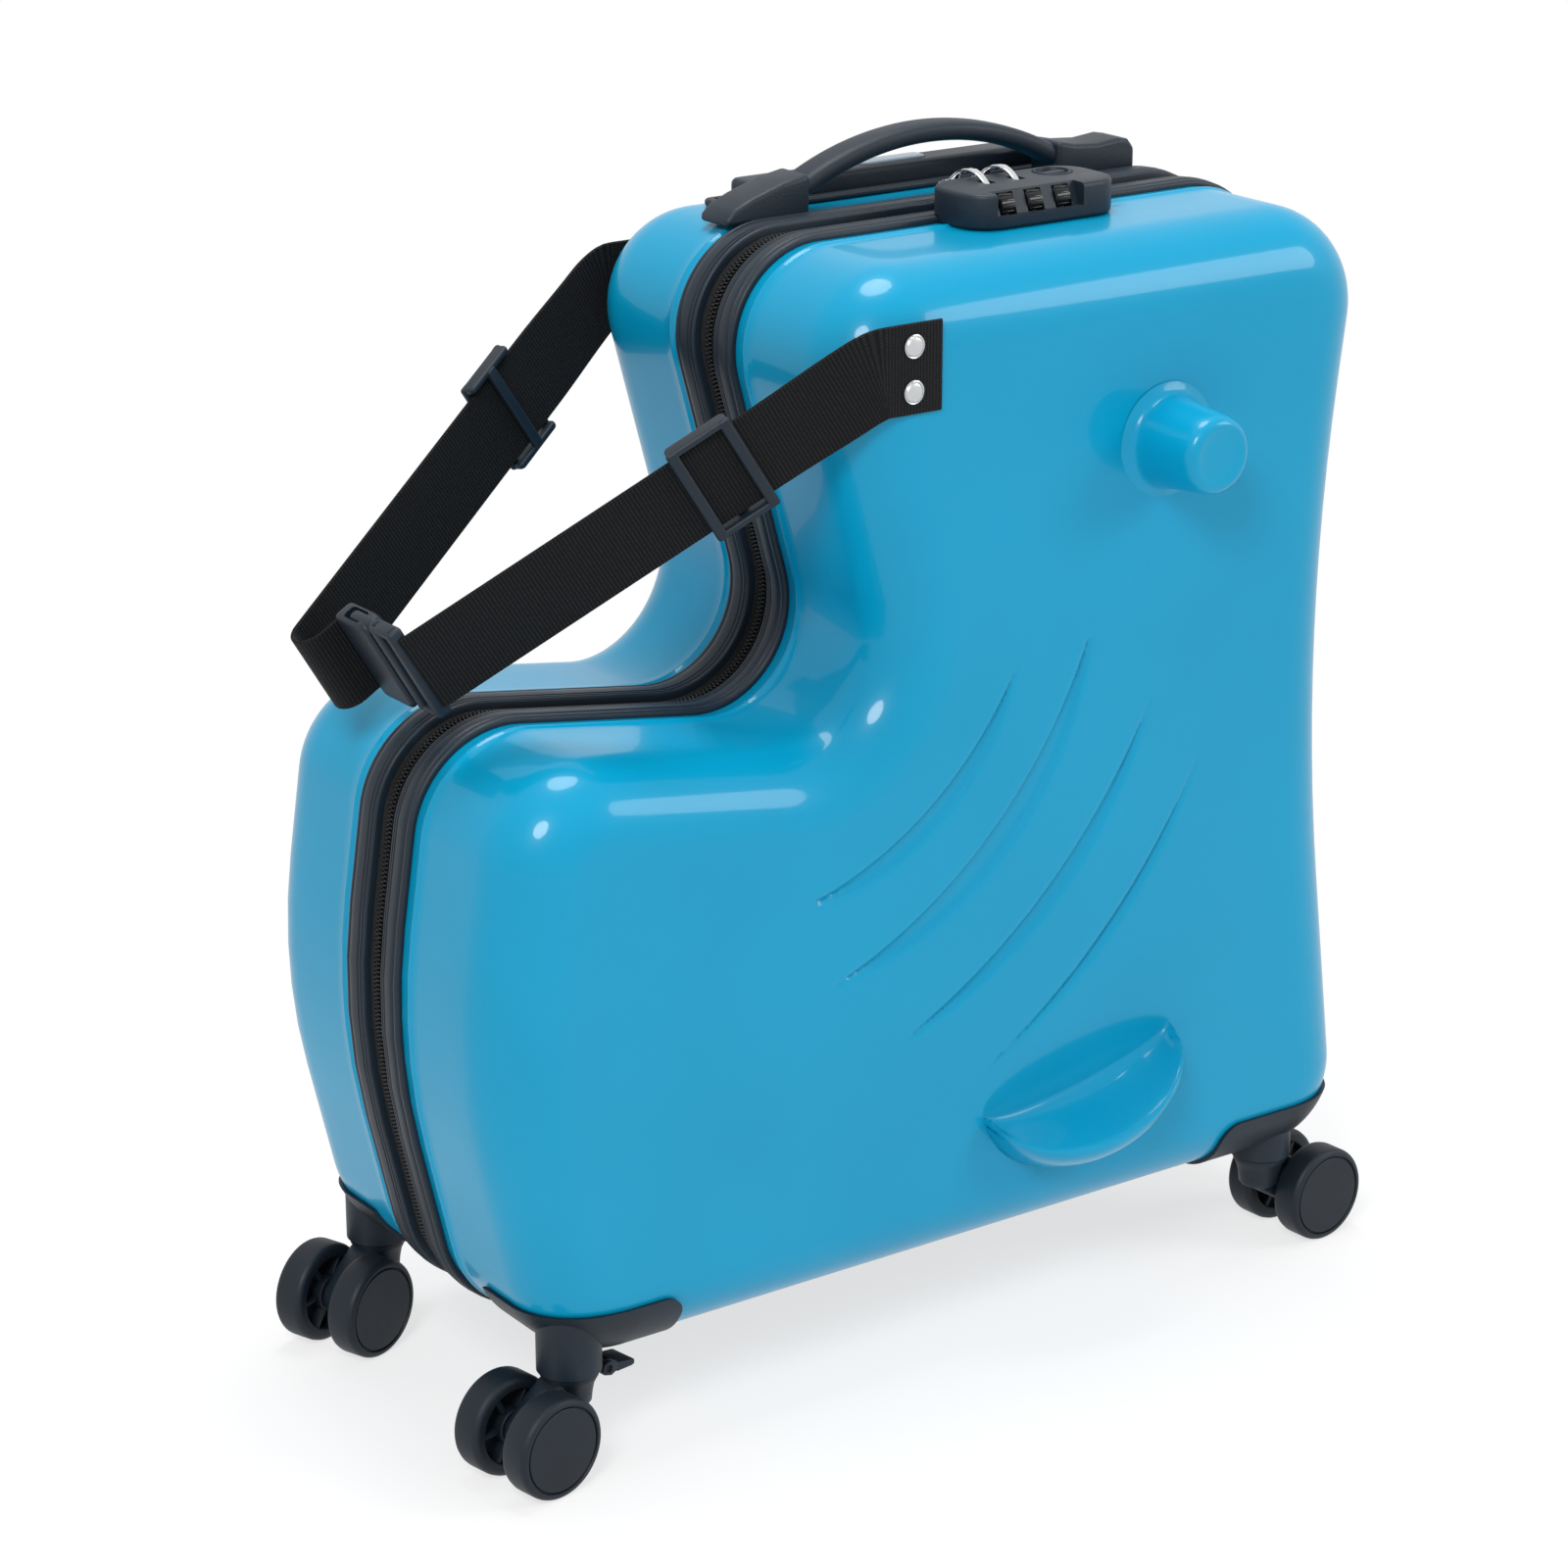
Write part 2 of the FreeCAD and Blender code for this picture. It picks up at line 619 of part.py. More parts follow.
def shell_relief(body, side):
    """Two nested crescent grooves moulded into the panel round the seat's corner."""
    sketch = new_sketch(body, "XZ_Plane", ("0", "0", f"{-side}*half_depth"))
    for radius, first, last in (("ripple_near", "-8", "-78"), ("ripple_far", "-22", "-72")):
        ends = [
            (f"ripple_x + {radius}*cos({angle} deg)", f"ripple_z + {radius}*sin({angle} deg)")
            for angle in (first, last)
        ]
        crescent(sketch, *ends, radius, f"{radius}*ripple_flat")
    pocket(body, sketch, "relief", backward=side > 0)


def make_shell(name, side):
    body = new_body(name + "_shell")
    shell_tray(body, side)
    shell_knob(body, side)
    shell_footrest(body, side)
    shell_holes(body, side)
    shell_relief(body, side)
    return keep(body)


def make_rim(name, side, source):
    """Rim trim and zip tape of one half."""
    lip = ring(name + "_lip", source, "seat_gap", "trim_proud", "trim_inner", "trim_edge", side)
    web = ring(name + "_web", source, "-trim_web", "trim_proud", "trim_inner", "mouth - seat_gap", side)
    keep(boolean("Fuse", name + "_trim", lip, web))
    edge = "trim_inner - seat_gap"
    tape = ring(name + "_tape", source, "-tape_depth", "tape_sheet - tape_depth", "zip_gap", edge, side)
    coil_top = "tape_sheet + coil_high - tape_depth"
    coil = ring(name + "_coil", source, "-tape_depth", coil_top, "zip_gap", "coil_half", side)
    keep(boolean("Fuse", name + "_zip_tape", tape, coil))


def make_lining(name, side, source):
    """Fabric lining of one half; the left one steps over the trolley tubes."""
    gap = "(wall + lining_gap)"
    deep = "(wall + lining_gap + lining_sheet)"
    out = name + "_lining_out"
    block = rounded_slab(out, source, f"-{gap}", "mouth", f"half_depth - {gap}", side, f"edge_round - {gap}")
    inside = name + "_lining_in"
    hollow = rounded_slab(inside, source, f"-{deep}", "mouth", f"half_depth - {deep}", side, f"edge_round - {deep}")
    if side > 0:
        block = boolean("Cut", name + "_lining_step", block, tunnel("outer_tunnel", "0"))
        hollow = boolean("Cut", name + "_hollow_step", hollow, tunnel("inner_tunnel", "lining_sheet"))
    keep(boolean("Cut", name + "_lining", block, hollow))


def tunnel(name, grow):
    """The space that the trolley takes in the left half, grown by an expression."""
    half = f"(bezel_long/2 + tunnel_side + {grow})"
    x = (f"top_mid_x - {half}", f"top_mid_x + {half}")
    y = (f"trolley_y - bezel_wide/2 + seat_gap - {grow}", "half_depth")
    return box_body(name, x, y, ("bottom_z", "top_z"))


def make_packing_straps():
    """Two crossing straps that lie on the lining's step in the left half."""
    straps = []
    for layer, lean in enumerate(("strap_lean", "-strap_lean")):
        strap = doc.addObject("Part::Box", f"packing_strap_{layer + 1}")
        bind(strap, Length="strap_wide", Width="strap_sheet", Height="strap_long")
        turn = FreeCAD.Rotation(V(0, 1, 0), value(lean))
        corner = turn.multVec(V(-value("strap_wide") / 2, 0, -value("strap_long") / 2))
        front = value("trolley_y - bezel_wide/2 - lining_sheet - strap_sheet")
        step = layer * value("strap_sheet + seat_gap")
        middle = V(value("top_mid_x"), front - step, value("strap_z"))
        strap.Placement = FreeCAD.Placement(middle + corner, turn)
        straps.append(strap)
    keep(group("packing_straps", straps))


def make_hinge_tape(name, side, source):
    """One leaf of the tape hinge: a band over the zip tape along the front end of the case."""
    inner = "tape_sheet + coil_high - tape_depth + seat_gap"
    edge = "trim_inner - seat_gap"
    band = ring(name + "_hinge", source, inner, f"{inner} + hinge_sheet", "zip_gap", edge, side)
    y = ("-trim_edge", "trim_edge")
    span = box_body(name + "_hinge_span", ("waist_x - 30", "hinge_x"), y, ("hinge_low", "hinge_high"))
    return keep(boolean("Common", name + "_hinge_tape", band, span))


# Lock, zip sliders and pulls


def make_lock():
    """Lock housing on the right shell's top: dial windows, pull slots and key bore."""
    body = new_body("lock_body")
    sketch = new_sketch(body, "XY_Plane", ("0", "0", "top_z + seat_gap"))
    half = "lock_long/2"
    rectangle(sketch, f"lock_x - {half}", f"lock_x + {half}", "-lock_front", "-lock_back", "lock_round")
    pad(body, sketch, "lock_high")
    relief = new_sketch(body, "XY_Plane", ("0", "0", "top_z + trim_proud + seat_gap"))
    rectangle(relief, f"lock_x - {half} - 1", f"lock_x + {half} + 1", "-trim_edge - side_gap", "0")
    pocket(body, relief, "trim_proud + 1")
    windows = new_sketch(body, "XY_Plane", ("0", "0", "top_z + lock_high + 1"))
    reach = "(dial_radius + side_gap)"
    for index in (-1, 0, 1):
        at = f"lock_x + {index}*dial_pitch"
        wide = "(dial_wide/2 + side_gap)"
        rectangle(windows, f"{at} - {wide}", f"{at} + {wide}", f"-dial_y - {reach}", f"-dial_y + {reach}")
    pocket(body, windows, "lock_high - 1.5")
    slots = new_sketch(body, "XY_Plane", ("0", "0", "top_z + lock_high + 1"))
    for at in ("slider_one_x", "slider_two_x"):
        wide = "(pull_wide/2 + side_gap)"
        tip = "(coil_half - pull_reach)"
        rectangle(slots, f"{at} - {wide}", f"{at} + {wide}", f"{tip} - 2.5", f"{tip} + 7")
    pocket(body, slots, "7")
    bore = new_sketch(body, "XY_Plane", ("0", "0", "top_z + lock_high + 1"))
    circle(bore, "key_x", "-key_y", "key_radius + running_fit")
    pocket(body, bore, "key_deep + 1")
    shaft = new_sketch(body, "YZ_Plane", ("0", "0", "lock_x - spindle_long/2"))
    circle(shaft, "-dial_y", "top_z + lock_high - dial_sink", "spindle_radius + running_fit")
    pocket(body, shaft, "spindle_long", backward=True)
    keep(body)


def make_dials():
    """Three number dials on their spindle."""
    height = "top_z + lock_high - dial_sink"
    for number, index in enumerate((-1, 0, 1), start=1):
        body = new_body(f"lock_dial_{number}")
        sketch = new_sketch(body, "YZ_Plane", ("0", "0", f"lock_x + {index}*dial_pitch - dial_wide/2"))
        circle(sketch, "-dial_y", height, "dial_radius")
        circle(sketch, "-dial_y", height, "spindle_radius + running_fit")
        pad(body, sketch, "dial_wide")
        keep(body)
    spindle = new_body("lock_spindle")
    sketch = new_sketch(spindle, "YZ_Plane", ("0", "0", "lock_x - spindle_long/2 + side_gap"))
    circle(sketch, "-dial_y", height, "spindle_radius")
    pad(spindle, sketch, "spindle_long - 2*side_gap")
    keep(spindle)


def make_key_cylinder():
    """Round key cylinder with a slot across its face."""
    body = new_body("lock_key_cylinder")
    sketch = new_sketch(body, "XY_Plane", ("0", "0", "top_z + lock_high - key_deep + seat_gap"))
    circle(sketch, "key_x", "-key_y", "key_radius")
    pad(body, sketch, "key_deep + key_proud")
    slot = new_sketch(body, "XY_Plane", ("0", "0", "top_z + lock_high + key_proud + 1"))
    rectangle(slot, "key_x - 0.55*key_radius", "key_x + 0.55*key_radius", "-key_y - 1", "-key_y + 1")
    pocket(body, slot, "4")
    keep(body)


def slider_base():
    return "top_z + tape_sheet + coil_high - tape_depth + seat_gap"


def make_zip_sliders():
    """Two zip sliders with cheeks and a pin for their pulls."""
    sliders = []
    for number, at in enumerate(("slider_one_x", "slider_two_x"), start=1):
        body = new_body(f"zip_slider_{number}")
        sketch = new_sketch(body, "XY_Plane", ("0", "0", slider_base()))
        rectangle(sketch, f"{at} - slider_long/2", f"{at} + slider_long/2", "-slider_half", "slider_half", "2")
        pad(body, sketch, "slider_high")
        pin_z = slider_base() + " + slider_high + pull_rise"
        for inner, outer in (("-pull_wide/2 - 1.6 - side_gap", "1.6"), ("pull_wide/2 + side_gap", "1.6")):
            cheek = new_sketch(body, "YZ_Plane", ("0", "0", f"{at} + {inner}"))
            low = slider_base() + " + slider_high - 1"
            corners = [
                ("coil_half - 3", low),
                ("coil_half + 2.6", low),
                ("coil_half + 2.6", f"{pin_z} + 2.6", "2.4"),
                ("coil_half - 2.6", f"{pin_z} + 2.6", "2.4"),
            ]
            outline(cheek, corners)
            pad(body, cheek, outer)
        pin = new_sketch(body, "YZ_Plane", ("0", "0", f"{at} - pull_wide/2 - side_gap - 0.8"))
        circle(pin, "coil_half", pin_z, "pull_pin")
        pad(body, pin, "pull_wide + 2*side_gap + 1.6")
        sliders.append(body)
    keep(group("zip_sliders", sliders))


def make_zip_pulls():
    """Curved chrome pulls that arch from the sliders into the lock's slots."""
    pin_z = value(slider_base() + " + slider_high + pull_rise")
    tip_z = value("top_z + lock_high - 2")
    start_y = value("coil_half")
    for number, at in enumerate(("slider_one_x", "slider_two_x"), start=1):
        wide = value("pull_wide")
        thick = value("pull_sheet")
        left = value(at) - wide / 2
        start = V(left, start_y, pin_z)
        end = V(left, start_y - value("pull_reach"), tip_z)
        band = arch_band(start, end, value("pull_arch"), thick)
        arch = band.extrude(V(wide, 0, 0))
        eye = Part.makeCylinder(value("pull_eye"), wide, start, V(1, 0, 0))
        hole = Part.makeCylinder(value("pull_pin + running_fit"), wide, start, V(1, 0, 0))
        pull = doc.addObject("Part::Feature", f"zip_pull_{number}")
        pull.Shape = arch.fuse(eye).cut(hole).removeSplitter()
        keep(pull)


def arch_band(start, end, rise, thick):
    """Face of a curved band of even thickness from one point to another in a plane X = constant."""
    middle = (start + end) * 0.5 + V(0, 0, rise)
    curve = Part.Arc(start, middle, end).toShape().Curve
    centre = curve.Center
    outer = [centre + (p - centre) * (1 + thick / 2 / curve.Radius) for p in (start, middle, end)]
    inner = [centre + (p - centre) * (1 - thick / 2 / curve.Radius) for p in (start, middle, end)]
    edges = [
        Part.Arc(*outer).toShape(),
        Part.LineSegment(outer[2], inner[2]).toShape(),
        Part.Arc(*inner).toShape(),
        Part.LineSegment(inner[0], outer[0]).toShape(),
    ]
    return Part.Face(Part.Wire(Part.__sortEdges__(edges)))


# Carry handle


def grip_arch(tuck, grow):
    """The arched grip: its ends reach into the mounts by an expression, its section is grown by another."""
    outer = value(f"handle_half - mount_long + {tuck}")
    wide = value(f"grip_wide + 2*({grow})")
    thick = value(f"grip_thick + 2*({grow})")
    radius = value("grip_radius")
    crown = value("top_z + grip_rise - grip_thick/2")
    drop = radius - math.sqrt(radius**2 - outer**2)
    middle = V(value("top_mid_x"), value("handle_y") - wide / 2, crown - drop)
    band = arch_band(middle - V(outer, 0, 0), middle + V(outer, 0, 0), drop, thick)
    return band.extrude(V(0, wide, 0))


def make_carry_handle():
    """An arched rubber grip whose ends sit in two moulded mounts."""
    solid = grip_arch("grip_tuck", "0")
    long_edges = [e for e in solid.Edges if e.Curve.TypeId == "Part::GeomCircle"]
    grip = doc.addObject("Part::Feature", "carry_handle_grip")
    grip.Shape = solid.makeFillet(value("grip_round"), long_edges)
    keep(grip)
    room = doc.addObject("Part::Feature", "carry_grip_room")
    room.Shape = grip_arch("grip_tuck + side_gap", "seat_gap")
    mounts = [handle_mount("rear", -1, room), handle_mount("front", 1, room)]
    keep(group("carry_handle_mounts", mounts))


def handle_mount(name, way, room):
    """Wedge-shaped mount, higher towards the grip, with a socket for the grip's end."""
    body = new_body("handle_wedge_" + name)
    sketch = new_sketch(body, "XZ_Plane", ("0", "0", "-handle_y - mount_wide/2"))
    base = "top_z + seat_gap"
    near = f"top_mid_x + {way}*(handle_half - mount_long)"
    far = f"top_mid_x + {way}*handle_half"
    corners = [
        (near, base),
        (far, base),
        (far, base + " + mount_low", "mount_low/2"),
        (near, base + " + mount_high"),
    ]
    outline(sketch, corners if way > 0 else corners[::-1])
    wedge = pad(body, sketch, "mount_wide")
    doc.recompute()
    top = max(wedge.Shape.Faces, key=lambda face: face.CenterOfMass.z if face.Area > 100 else 0)
    index = next(i for i, face in enumerate(wedge.Shape.Faces, start=1) if face.isSame(top))
    soften = body.newObject("PartDesign::Fillet", body.Name + "_round")
    soften.Base = (wedge, [f"Face{index}"])
    bind(soften, Radius="mount_round")
    return boolean("Cut", "handle_mount_" + name, body, room)


# Trolley


def tube_pair(label, shrink, low, high):
    """Two tubes of one trolley stage; shrink is the (negative) growth from the outer tube's surface."""
    body = new_body(label)
    sketch = new_sketch(body, "XY_Plane", ("0", "0", low))
    for inset in (shrink, f"{shrink} - tube_wall"):
        tube_plan(sketch, inset, f"tube_round + {inset}")
    pad(body, sketch, f"({high}) - ({low})")
    return keep(body)


def tube_plan(sketch, grow, radius=None):
    """Both tubes' outline seen from above, grown from the outer tube's surface."""
    half_x = f"(tube_wide/2 + {grow})"
    half_y = f"(tube_thick/2 + {grow})"
    for way in (-1, 1):
        at = f"top_mid_x + {way}*tube_half"
        y = (f"trolley_y - {half_y}", f"trolley_y + {half_y}")
        rectangle(sketch, f"{at} - {half_x}", f"{at} + {half_x}", *y, radius)


def make_trolley():
    """Bezel, three tube stages, foot, grip and release button."""
    floor = "top_z - bezel_deep"
    tube_pair("trolley_outer_tubes", "0", "tube_low", f"{floor} - seat_gap")
    middle = "- tube_wall - tube_gap"
    inner = "- 2*tube_wall - 2*tube_gap"
    tube_pair("trolley_middle_tubes", middle, "tube_low + tube_step", f"{floor} + bezel_floor")
    grip_low = "top_z + trolley_grip_top - trolley_grip_high"
    tube_pair("trolley_inner_tubes", inner, "tube_low + 2*tube_step", f"{grip_low} + grip_socket - seat_gap")
    make_bezel(floor)
    make_trolley_grip(grip_low)
    make_trolley_foot()


def make_trolley_foot():
    """Block on the shell's floor that the outer tubes stand in."""
    half_x = "(tube_half + tube_wide/2 + foot_wall)"
    half_y = "(tube_thick/2 + foot_wall)"
    x = (f"top_mid_x - {half_x}", f"top_mid_x + {half_x}")
    y = (f"trolley_y - {half_y}", f"trolley_y + {half_y}")
    foot = box_body("trolley_foot", x, y, ("bottom_z + wall + seat_gap", "tube_low + foot_seat"))
    seats = new_sketch(foot, "XY_Plane", ("0", "0", "tube_low - seat_gap"))
    tube_plan(seats, "seat_gap", "tube_round + seat_gap")
    pocket(foot, seats, "foot_seat + 2*seat_gap", backward=True)
    keep(foot)


def make_bezel(floor):
    """Bezel round the grip: a lip on the shell, a collar through it and a floor with two tube holes."""
    body = new_body("trolley_bezel")
    collar = new_sketch(body, "XY_Plane", ("0", "0", floor))
    bezel_plan(collar, "-bezel_wall")
    pad(body, collar, "bezel_deep + bezel_lip")
    lip = new_sketch(body, "XY_Plane", ("0", "0", "top_z + seat_gap"))
    bezel_plan(lip, "0")
    pad(body, lip, "bezel_lip - seat_gap")
    well = new_sketch(body, "XY_Plane", ("0", "0", f"{floor} + bezel_floor"))
    bezel_plan(well, "-bezel_wall - 1")
    pocket(body, well, "bezel_deep + bezel_lip", backward=True)
    holes = new_sketch(body, "XY_Plane", ("0", "0", f"{floor} - 1"))
    tube_plan(holes, "- tube_wall", "tube_round - tube_wall")
    pocket(body, holes, "bezel_floor + 2", backward=True)
    keep(body)


def make_trolley_grip(grip_low):
    """Pull-out grip with sockets for the inner tubes and a pocket for its button."""
    body = new_body("trolley_grip")
    plan = new_sketch(body, "XY_Plane", ("0", "0", grip_low))
    long = "trolley_grip_long/2"
    wide = "trolley_grip_wide/2"
    rectangle(
        plan, f"top_mid_x - {long}", f"top_mid_x + {long}", f"trolley_y - {wide}", f"trolley_y + {wide}", "5"
    )
    pad(body, plan, "trolley_grip_high")
    sockets = new_sketch(body, "XY_Plane", ("0", "0", f"{grip_low} - 1"))
    tube_plan(sockets, "- 2*tube_wall - 2*tube_gap + seat_gap")
    pocket(body, sockets, "grip_socket + 1", backward=True)
    well = new_sketch(body, "XY_Plane", ("0", "0", "top_z + trolley_grip_top + 1"))
    button_plan(well, "side_gap")
    pocket(body, well, "button_deep + 5")
    keep(body)
    button = new_body("trolley_button")
    face = new_sketch(button, "XY_Plane", ("0", "0", "top_z + trolley_grip_top - button_deep"))
    button_plan(face, "0")
    pad(button, face, "button_deep + button_proud")
    keep(button)


def button_plan(sketch, grow):
    long = f"(button_long/2 + {grow})"
    wide = f"(button_wide/2 + {grow})"
    rectangle(
        sketch, f"top_mid_x - {long}", f"top_mid_x + {long}", f"trolley_y - {wide}", f"trolley_y + {wide}", "3"
    )


# Seat belt


def lean_frame():
    """Directions at the buckle: the webbing's width, leaning back at its top, and backwards across it."""
    lean = math.radians(value("belt_lean"))
    width = V(-math.sin(lean), 0, math.cos(lean))
    back = V(-math.cos(lean), 0, -math.sin(lean))
    return width, back


def section(centre, width, through, thick):
    """Rectangle across the webbing: its full width by its thickness."""
    half_w = width * (value("belt_wide") / 2)
    half_t = through * (thick / 2)
    corners = [centre + half_w + half_t, centre + half_w - half_t, centre - half_w - half_t, centre - half_w + half_t]
    return Part.makePolygon(corners + corners[:1])


def belt_ends(side):
    """Both ends of the riveted patch on one side of the case."""
    y = side * value("half_depth + seat_gap + belt_sheet/2")
    front = V(value("patch_front_x"), y, value("patch_z"))
    return front, front - V(value("patch_long"), 0, 0)


def patch_sections(side):
    """Sections of the webbing over its patch, which is upright."""
    up = V(0, 0, 1)
    across = V(0, 1, 0)
    return [section(point, up, across, value("belt_sheet")) for point in belt_ends(side)]


def belt_solid(name, side, sections):
    """A ruled solid through the sections with the rivets' holes in its patch."""
    solid = Part.makeLoft(sections, True, True)
    for end in (-0.5, 0.5):
        at = V(value("rivet_x"), 0, value("patch_z") + end * value("rivet_pitch"))
        radius = value("rivet_shank + running_fit")
        solid = solid.cut(Part.makeCylinder(radius, value("half_depth + 20"), at, V(0, side, 0)))
    belt = doc.addObject("Part::Feature", name + "_belt")
    belt.Shape = solid
    keep(belt)


def free_run(side):
    """The straight webbing of one side: its upper and its lower end."""
    _, back = lean_frame()
    middle = V(value("buckle_x"), 0, value("buckle_z"))
    _, top = belt_ends(side)
    if side < 0:
        return top, middle - V(0, value("buckle_near + seat_gap"), 0)
    turn = value("belt_turn")
    centre = middle + V(0, socket_side() + turn, 0) + back * value("belt_tail")
    aim = top - centre
    angle = math.atan2(aim.dot(V(0, 1, 0)), -aim.dot(back)) - math.asin(turn / aim.Length)
    last = math.pi - angle
    return top, centre + turn_point(last, back)


def socket_side():
    """Seam plane to the middle of the webbing that lies on the socket's end."""
    return value("buckle_far + seat_gap + belt_sheet/2")


def turn_point(angle, back):
    """Point of the webbing's turn behind the buckle, from the turn's centre."""
    radius = value("belt_turn")
    return V(0, -radius * math.cos(angle), 0) + back * (radius * math.sin(angle))


def arm_sections(side):
    """Sections at both ends of the straight webbing."""
    width, _ = lean_frame()
    top, low = free_run(side)
    along = (low - top).normalize()
    through = along.cross(width).normalize()
    bend = top + along * value("belt_bend")
    return section(bend, width, through, value("belt_sheet")), along


def make_belts():
    """Right webbing straight to the plug; left webbing down, round its turn and back to the socket."""
    width, back = lean_frame()
    middle = V(value("buckle_x"), 0, value("buckle_z"))
    thick = value("belt_sheet")
    bend, along = arm_sections(-1)
    slant = thick / abs(along.y)
    end = free_run(-1)[1]
    belt_solid("right", -1, patch_sections(-1) + [bend, section(end, width, back * -1, slant)])

    bend, along = arm_sections(1)
    centre = middle + V(0, socket_side() + value("belt_turn"), 0) + back * value("belt_tail")
    last = math.acos(-along.dot(back))
    sections = patch_sections(1) + [bend]
    for step in range(TURN_STEPS, -1, -1):
        angle = last * step / TURN_STEPS
        through = V(0, -math.cos(angle), 0) + back * math.sin(angle)
        sections.append(section(centre + turn_point(angle, back), width, through * -1, thick))
    start = middle + V(0, socket_side(), 0) - back * (value("buckle_thick") / 2)
    sections.append(section(start, width, V(0, 1, 0), thick))
    belt_solid("left", 1, sections)


def make_rivets(name, side):
    """Two hollow-rivet pairs that clamp the webbing's patch to the shell."""
    inside = f"{side}*(half_depth - wall - rivet_set)"
    back = f"{side}*(half_depth - wall - rivet_set - rivet_high/2)"
    outside = f"{side}*(half_depth + belt_sheet + 2*seat_gap)"
    face = f"{side}*(half_depth + belt_sheet + 2*seat_gap + rivet_high)"
    rivets = []
    for number, end in enumerate(("-", "+"), start=1):
        body = new_body(f"{name}_rivet_{number}")
        sketch = new_sketch(body, "XY_Plane", ("rivet_x", "0", f"patch_z {end} rivet_pitch/2"))
        corners = [
            ("0", back),
            ("rivet_back", back),
            ("rivet_back", inside),
            ("rivet_shank", inside),
            ("rivet_shank", outside),
            ("rivet_head", outside),
            ("rivet_head", face, "rivet_high/2"),
            ("0", face),
        ]
        outline(sketch, corners)
        revolve(body, sketch)
        rivets.append(body)
    keep(group(name + "_belt_rivets", rivets))


def make_belt_slider(name, side):
    """Three-bar slider: two bars in front of the webbing, one behind it, joined by side rails."""
    body = new_body(name + "_belt_slider")
    half_l = "glide_long/2"
    half_w = "glide_wide/2"
    rail = "(glide_wide/2 - 0.4*glide_bar)"
    clear = "(belt_sheet/2 + side_gap)"
    frame = new_sketch(body, "XY_Plane", ("0", "0", clear))
    rectangle(frame, f"-{half_l}", half_l, f"-{half_w}", half_w, "glide_bar")
    rectangle(frame, f"-{half_l} + glide_bar", f"{half_l} - glide_bar", f"-{rail}", rail)
    pad(body, frame, "glide_thick")
    rails = new_sketch(body, "XY_Plane", ("0", "0", f"-{clear} - glide_thick"))
    for low, high in ((f"-{half_w}", f"-{rail}"), (rail, half_w)):
        rectangle(rails, f"-{half_l} + glide_bar", f"{half_l} - glide_bar", low, high)
    pad(body, rails, f"2*{clear} + glide_thick")
    bar = new_sketch(body, "XY_Plane", ("0", "0", f"-{clear} - glide_thick"))
    rectangle(bar, "-glide_bar/2", "glide_bar/2", f"-{rail}", rail)
    pad(body, bar, "glide_thick")
    width, _ = lean_frame()
    top, low = free_run(side)
    along = (low - top).normalize() * side
    out = along.cross(width).normalize()
    place = top + (low - top) * value("slider_at")
    turn = FreeCAD.Rotation(along, out.cross(along), out, "ZXY")
    body.Placement = FreeCAD.Placement(place, turn)
    return keep(body)


def buckle_placement():
    """Buckle frame: its axis along Y, its width along the webbing's width."""
    width, _ = lean_frame()
    axis = V(0, 1, 0)
    turn = FreeCAD.Rotation(axis, width, axis.cross(width), "ZXY")
    return FreeCAD.Placement(V(value("buckle_x"), 0, value("buckle_z")), turn)


def make_buckle():
    """Side-release buckle: a plug with two sprung prongs and a hollow socket with side windows."""
    plug = new_body("buckle_plug")
    base = new_sketch(plug, "XY_Plane", ("0", "0", "-buckle_thick/3"))
    rectangle(base, "-buckle_near", "-buckle_neck", "-buckle_wide/2", "buckle_wide/2", "3")
    rectangle(base, "-buckle_near + 4", "-buckle_neck - 6", "-belt_wide/2 - 0.5", "belt_wide/2 + 0.5")
    pad(plug, base, "2*buckle_thick/3")
    prongs = new_sketch(plug, "XY_Plane", ("0", "0", "-buckle_thick/4"))
    for way in (-1, 1):
        root = f"{way}*(buckle_wide/2 - 9)"
        tip = f"{way}*(buckle_wide/2 - 5)"
        low, high = (tip, root) if way < 0 else (root, tip)
        rectangle(prongs, "-buckle_neck - 1", "buckle_far - 9", low, high)
    rectangle(prongs, "-buckle_neck - 1", "buckle_far - 11", "-2.5", "2.5")
    pad(plug, prongs, "buckle_thick/2")
    socket = new_body("buckle_socket")
    case = new_sketch(socket, "XY_Plane", ("0", "0", "-buckle_thick/2"))
    rectangle(case, "side_gap - buckle_neck", "buckle_far", "-buckle_wide/2", "buckle_wide/2", "4")
    pad(socket, case, "buckle_thick")
    cavity = new_sketch(socket, "YZ_Plane", ("0", "0", "side_gap - buckle_neck - 1"))
    rectangle(cavity, "4 - buckle_wide/2", "buckle_wide/2 - 4", "-0.32*buckle_thick", "0.32*buckle_thick")
    pocket(socket, cavity, "buckle_far + buckle_neck - 6", backward=True)
    windows = new_sketch(socket, "XZ_Plane", ("0", "0", "-buckle_wide/2 - 1"))
    rectangle(windows, "-3", "buckle_far - 7", "-0.32*buckle_thick", "0.32*buckle_thick")
    pocket(socket, windows, "buckle_wide + 2", backward=True)
    for body in (plug, socket):
        body.Placement = buckle_placement()
        keep(body)


# Casters


def caster_placement(name):
    stem, side, heading, _ = CASTERS[name]
    place = V(value(stem), side * value("stem_y"), 0)
    return FreeCAD.Placement(place, FreeCAD.Rotation(V(0, 0, 1), heading))


